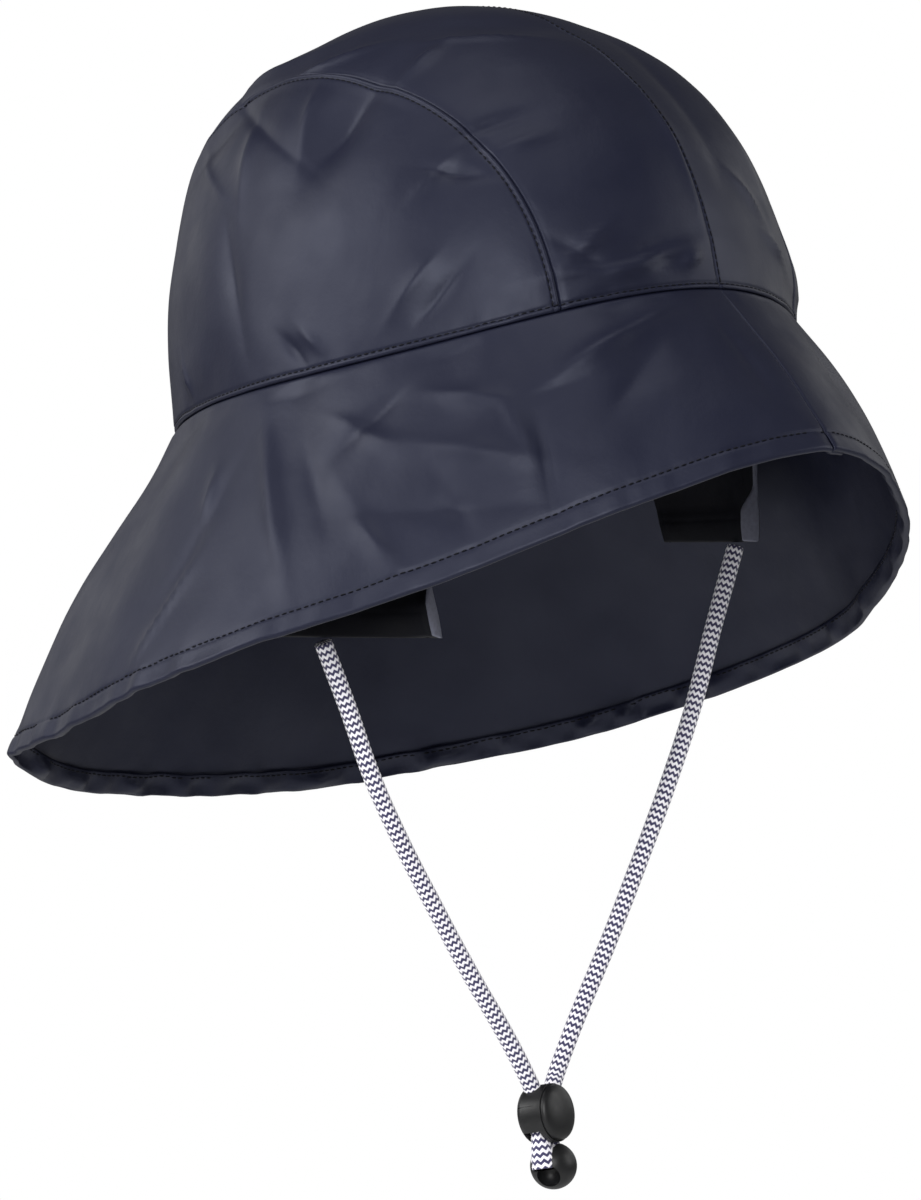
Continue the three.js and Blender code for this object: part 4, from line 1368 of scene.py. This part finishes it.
def stitch_row(name, line, surface, sizes):
    """A row of stitches along a line of points, each lying on the nearest cloth."""
    co, faces = one_stitch(sizes)
    line = np.asarray(line)
    length = arc_lengths(line)
    count = max(2, int(length[-1] / sizes.stitch_step))
    places = np.linspace(0, length[-1], count + 1)[:-1] + 0.5 * length[-1] / count
    centre, ahead, behind = (along_line(places + d, length, line) for d in (0, 0.0004, -0.0004))
    vertices, polygons = [], []
    for c, a, b in zip(centre, ahead, behind):
        found, normal, _, _ = surface.find_nearest(Vector(c))
        forward = Vector(a - b).normalized()
        forward = (forward - normal * forward.dot(normal)).normalized()
        turned = Matrix((forward, normal.cross(forward), normal)).transposed()
        start = len(vertices)
        vertices.extend(found + turned @ Vector(p) for p in co)
        polygons.extend([k + start for k in f] for f in faces)
    mesh = bpy.data.meshes.new(name)
    mesh.from_pydata([tuple(v) for v in vertices], [], polygons)
    mesh.update()
    row = bpy.data.objects.new(name, mesh)
    bpy.context.scene.collection.objects.link(row)
    choose(row)
    bpy.ops.object.shade_smooth()
    # The thread's dark colour partly stands in as painted shade for the shadowed stitch holes
    finish_piece(row, "coated_fabric", finished("sewing_thread"))


def beside(line, normals, offset):
    """The line moved sideways on its surface."""
    tangent = unit(np.gradient(line, axis=0))
    return line + np.cross(normals, tangent) * offset


def view_axes():
    """To the right in the photograph, and back from the hat to the camera."""
    c, s = math.cos(VIEW_AZIMUTH), math.sin(VIEW_AZIMUTH)
    return Vector((c, s, 0)), Vector((s, -c, 0))


class HAT_OT_camera(Operator):
    """Place the camera at the photograph's angle"""

    bl_idname = "hat.camera"
    bl_label = "Camera"

    def execute(self, context):
        right, back = view_axes()
        target = right * VIEW_RIGHT + Vector((0, 0, VIEW_UP))
        lens = bpy.data.cameras.new("camera")
        lens.sensor_width = SENSOR
        lens.lens = LENS
        lens.clip_end = 30
        camera = bpy.data.objects.new("camera", lens)
        context.scene.collection.objects.link(camera)
        camera.location = target + back * VIEW_DISTANCE
        camera.rotation_euler = (math.pi / 2, 0, VIEW_AZIMUTH)
        context.scene.camera = camera
        return {"FINISHED"}


class HAT_OT_toggle(Operator):
    """Model the toggle's drum, its push button and the ball at the cord's end"""

    bl_idname = "hat.toggle"
    bl_label = "Toggle and ball"

    def execute(self, context):
        build_drum()
        build_button()
        build_ball()
        return {"FINISHED"}


class HAT_OT_cords(Operator):
    """Braid both strands of the chin cord from the flaps through the toggle into the ball"""

    bl_idname = "hat.cords"
    bl_label = "Chin cord"

    def execute(self, context):
        for name, _ in SIDES:
            cord, centre, length = build_cord(name, context.scene.hat_sizes)
        return {"FINISHED"}


class HAT_OT_crown(Operator):
    """Sew the crown from two top panels and two side panels"""

    bl_idname = "hat.crown"
    bl_label = "Crown"

    def execute(self, context):
        for name, side in SIDES:
            build_top_panel("crown_top_" + name, side, context.scene.hat_sizes)
            build_side_panel("crown_side_" + name, side, context.scene.hat_sizes)
        return {"FINISHED"}


class HAT_OT_brim(Operator):
    """Sew the brim with its front seam and its turned hem"""

    bl_idname = "hat.brim"
    bl_label = "Brim"

    def execute(self, context):
        build_brim(context.scene.hat_sizes)
        return {"FINISHED"}


class HAT_OT_flaps(Operator):
    """Hang the two ear flaps with their tunnel hems"""

    bl_idname = "hat.flaps"
    bl_label = "Ear flaps"

    def execute(self, context):
        for name, _ in SIDES:
            flap = build_flap(name, "ear_flap_" + name + "_cloth")
        return {"FINISHED"}


class HAT_OT_stitching(Operator):
    """Sew the rows of stitches along the crown's seams, its band and the brim's hem"""

    bl_idname = "hat.stitching"
    bl_label = "Stitching"

    def execute(self, context):
        sizes = context.scene.hat_sizes
        names = ["crown_top_right", "crown_top_left", "crown_side_right", "crown_side_left"]
        crown = surface_of(*[bpy.data.objects[n + "_cloth"] for n in names])
        brim = surface_of(bpy.data.objects["brim_cloth"])
        round_head = np.linspace(-180, 180, 721)
        band = crown_point(round_head, np.full(721, rise_at(sizes.topstitch)), np.zeros(721))
        stitch_row("band_stitching", tilt(band), crown, sizes)
        for name, side in SIDES:
            azimuth, rise = side_seam(np.linspace(0.004, 0.996, 500))
            azimuth = side * azimuth
            line = crown_point(azimuth, rise, np.zeros_like(rise))
            line = beside(line, crown_normal(azimuth, rise), -side * sizes.topstitch)
            stitch_row("side_seam_stitching_" + name, tilt(line), crown, sizes)
        across = np.linspace(0.006, 1.994, 700)
        azimuth = np.where(across < 1, 0.0, 180.0)
        rise = np.where(across < 1, across, 2 - across)
        line = crown_point(azimuth, rise, np.zeros_like(rise))
        line[:, 0] += 0.00055
        stitch_row("centre_seam_stitching", tilt(line), crown, sizes)
        for name, depth in (("hem_stitching", 0.0), ("hem_stitching_inside", 2.2 * HEM_FOLD)):
            stitch_row(name, tilt(brim_line(round_head, sizes.hem, depth)), brim, sizes)
        return {"FINISHED"}


def brim_line(azimuth, from_rim, depth):
    slant = slant_at(azimuth)
    down = (slant - from_rim) / slant
    depth = depth + brim_wave_depth(azimuth, down) + brim_fold_depth(azimuth, down, slant)
    return slope_point(azimuth, down) - slope_normal(azimuth, down) * depth[..., None]


class HAT_OT_stage(Operator):
    """Set up the pale floor, the bright surround and the soft studio lights"""

    bl_idname = "hat.stage"
    bl_label = "Stage"

    def execute(self, context):
        scene, light = context.scene, context.scene.hat_light
        scene.view_settings.view_transform = "Standard"
        deselect()
        bpy.ops.mesh.primitive_circle_add(vertices=96, radius=3.6, fill_type="NGON", location=(0, 0, -0.9))
        floor = bpy.context.active_object
        floor.name = "floor"
        floor.data.materials.append(finished("pale_floor"))

        world = bpy.data.worlds.new("surround")
        scene.world = world
        world.use_nodes = True
        tree = world.node_tree
        tree.nodes.clear()
        seen, lit = (
            node(tree, "ShaderNodeBackground", {"Color": (1, 1, 1, 1), "Strength": strength}).outputs[0]
            for strength in (1.0, light.around))
        seen_directly = node(tree, "ShaderNodeLightPath").outputs["Is Camera Ray"]
        choice = node(tree, "ShaderNodeMixShader", {0: seen_directly, 1: lit, 2: seen})
        node(tree, "ShaderNodeOutputWorld", {0: choice.outputs[0]})

        right, back = view_axes()
        up = Vector((0, 0, 1))
        lamps = (
            ("left", right * -1.7 + back * 0.35 + up * 0.75, 1.7, light.left),
            ("right", right * 1.8 + up * 0.6, 1.5, light.right),
            ("behind_left", right * -1.3 + back * -1.4 + up * 0.5, 1.2, light.behind),
            ("behind_right", right * 1.3 + back * -1.4 + up * 0.5, 1.2, light.behind),
            ("front", right * -0.35 + back * 2.1 + up * 0.62, 1.4, light.front),
            ("top", right * -0.1 + back * 0.3 + up * 1.7, 1.2, light.top),
        )
        for name, place, size, power in lamps:
            lamp = bpy.data.lights.new(name, "AREA")
            lamp.shape = "DISK"
            lamp.size = size
            lamp.energy = power
            holder = bpy.data.objects.new(name, lamp)
            scene.collection.objects.link(holder)
            holder.location = place
            holder.rotation_euler = (-place).to_track_quat("-Z", "Y").to_euler()
        return {"FINISHED"}


class HAT_PT_panel(Panel):
    """Lists the hat's pieces in the order in which they are made"""

    bl_idname = "HAT_PT_panel"
    bl_label = "Rain hat"
    bl_space_type = "VIEW_3D"
    bl_region_type = "UI"
    bl_category = "Rain hat"

    def draw(self, context):
        for step in STEPS:
            self.layout.operator(step.bl_idname)


STEPS = (HAT_OT_camera, HAT_OT_toggle, HAT_OT_cords, HAT_OT_crown, HAT_OT_brim, HAT_OT_flaps,
         HAT_OT_stitching, HAT_OT_stage)
GROUPS = (("hat_sizes", HatSizes), ("hat_colours", HatColours), ("hat_light", HatLight))


def register():
    for name, group in GROUPS:
        bpy.utils.register_class(group)
        setattr(bpy.types.Scene, name, PointerProperty(type=group))
    for step in (*STEPS, HAT_PT_panel):
        bpy.utils.register_class(step)


def unregister():
    for step in reversed((*STEPS, HAT_PT_panel)):
        bpy.utils.unregister_class(step)
    for name, group in reversed(GROUPS):
        delattr(bpy.types.Scene, name)
        bpy.utils.unregister_class(group)


def main():
    register()
    bpy.ops.hat.camera()
    bpy.ops.hat.toggle()
    bpy.ops.hat.cords()
    bpy.ops.hat.crown()
    bpy.ops.hat.brim()
    bpy.ops.hat.flaps()
    bpy.ops.hat.stitching()
    bpy.ops.hat.stage()


if __name__ == "__main__":
    main()
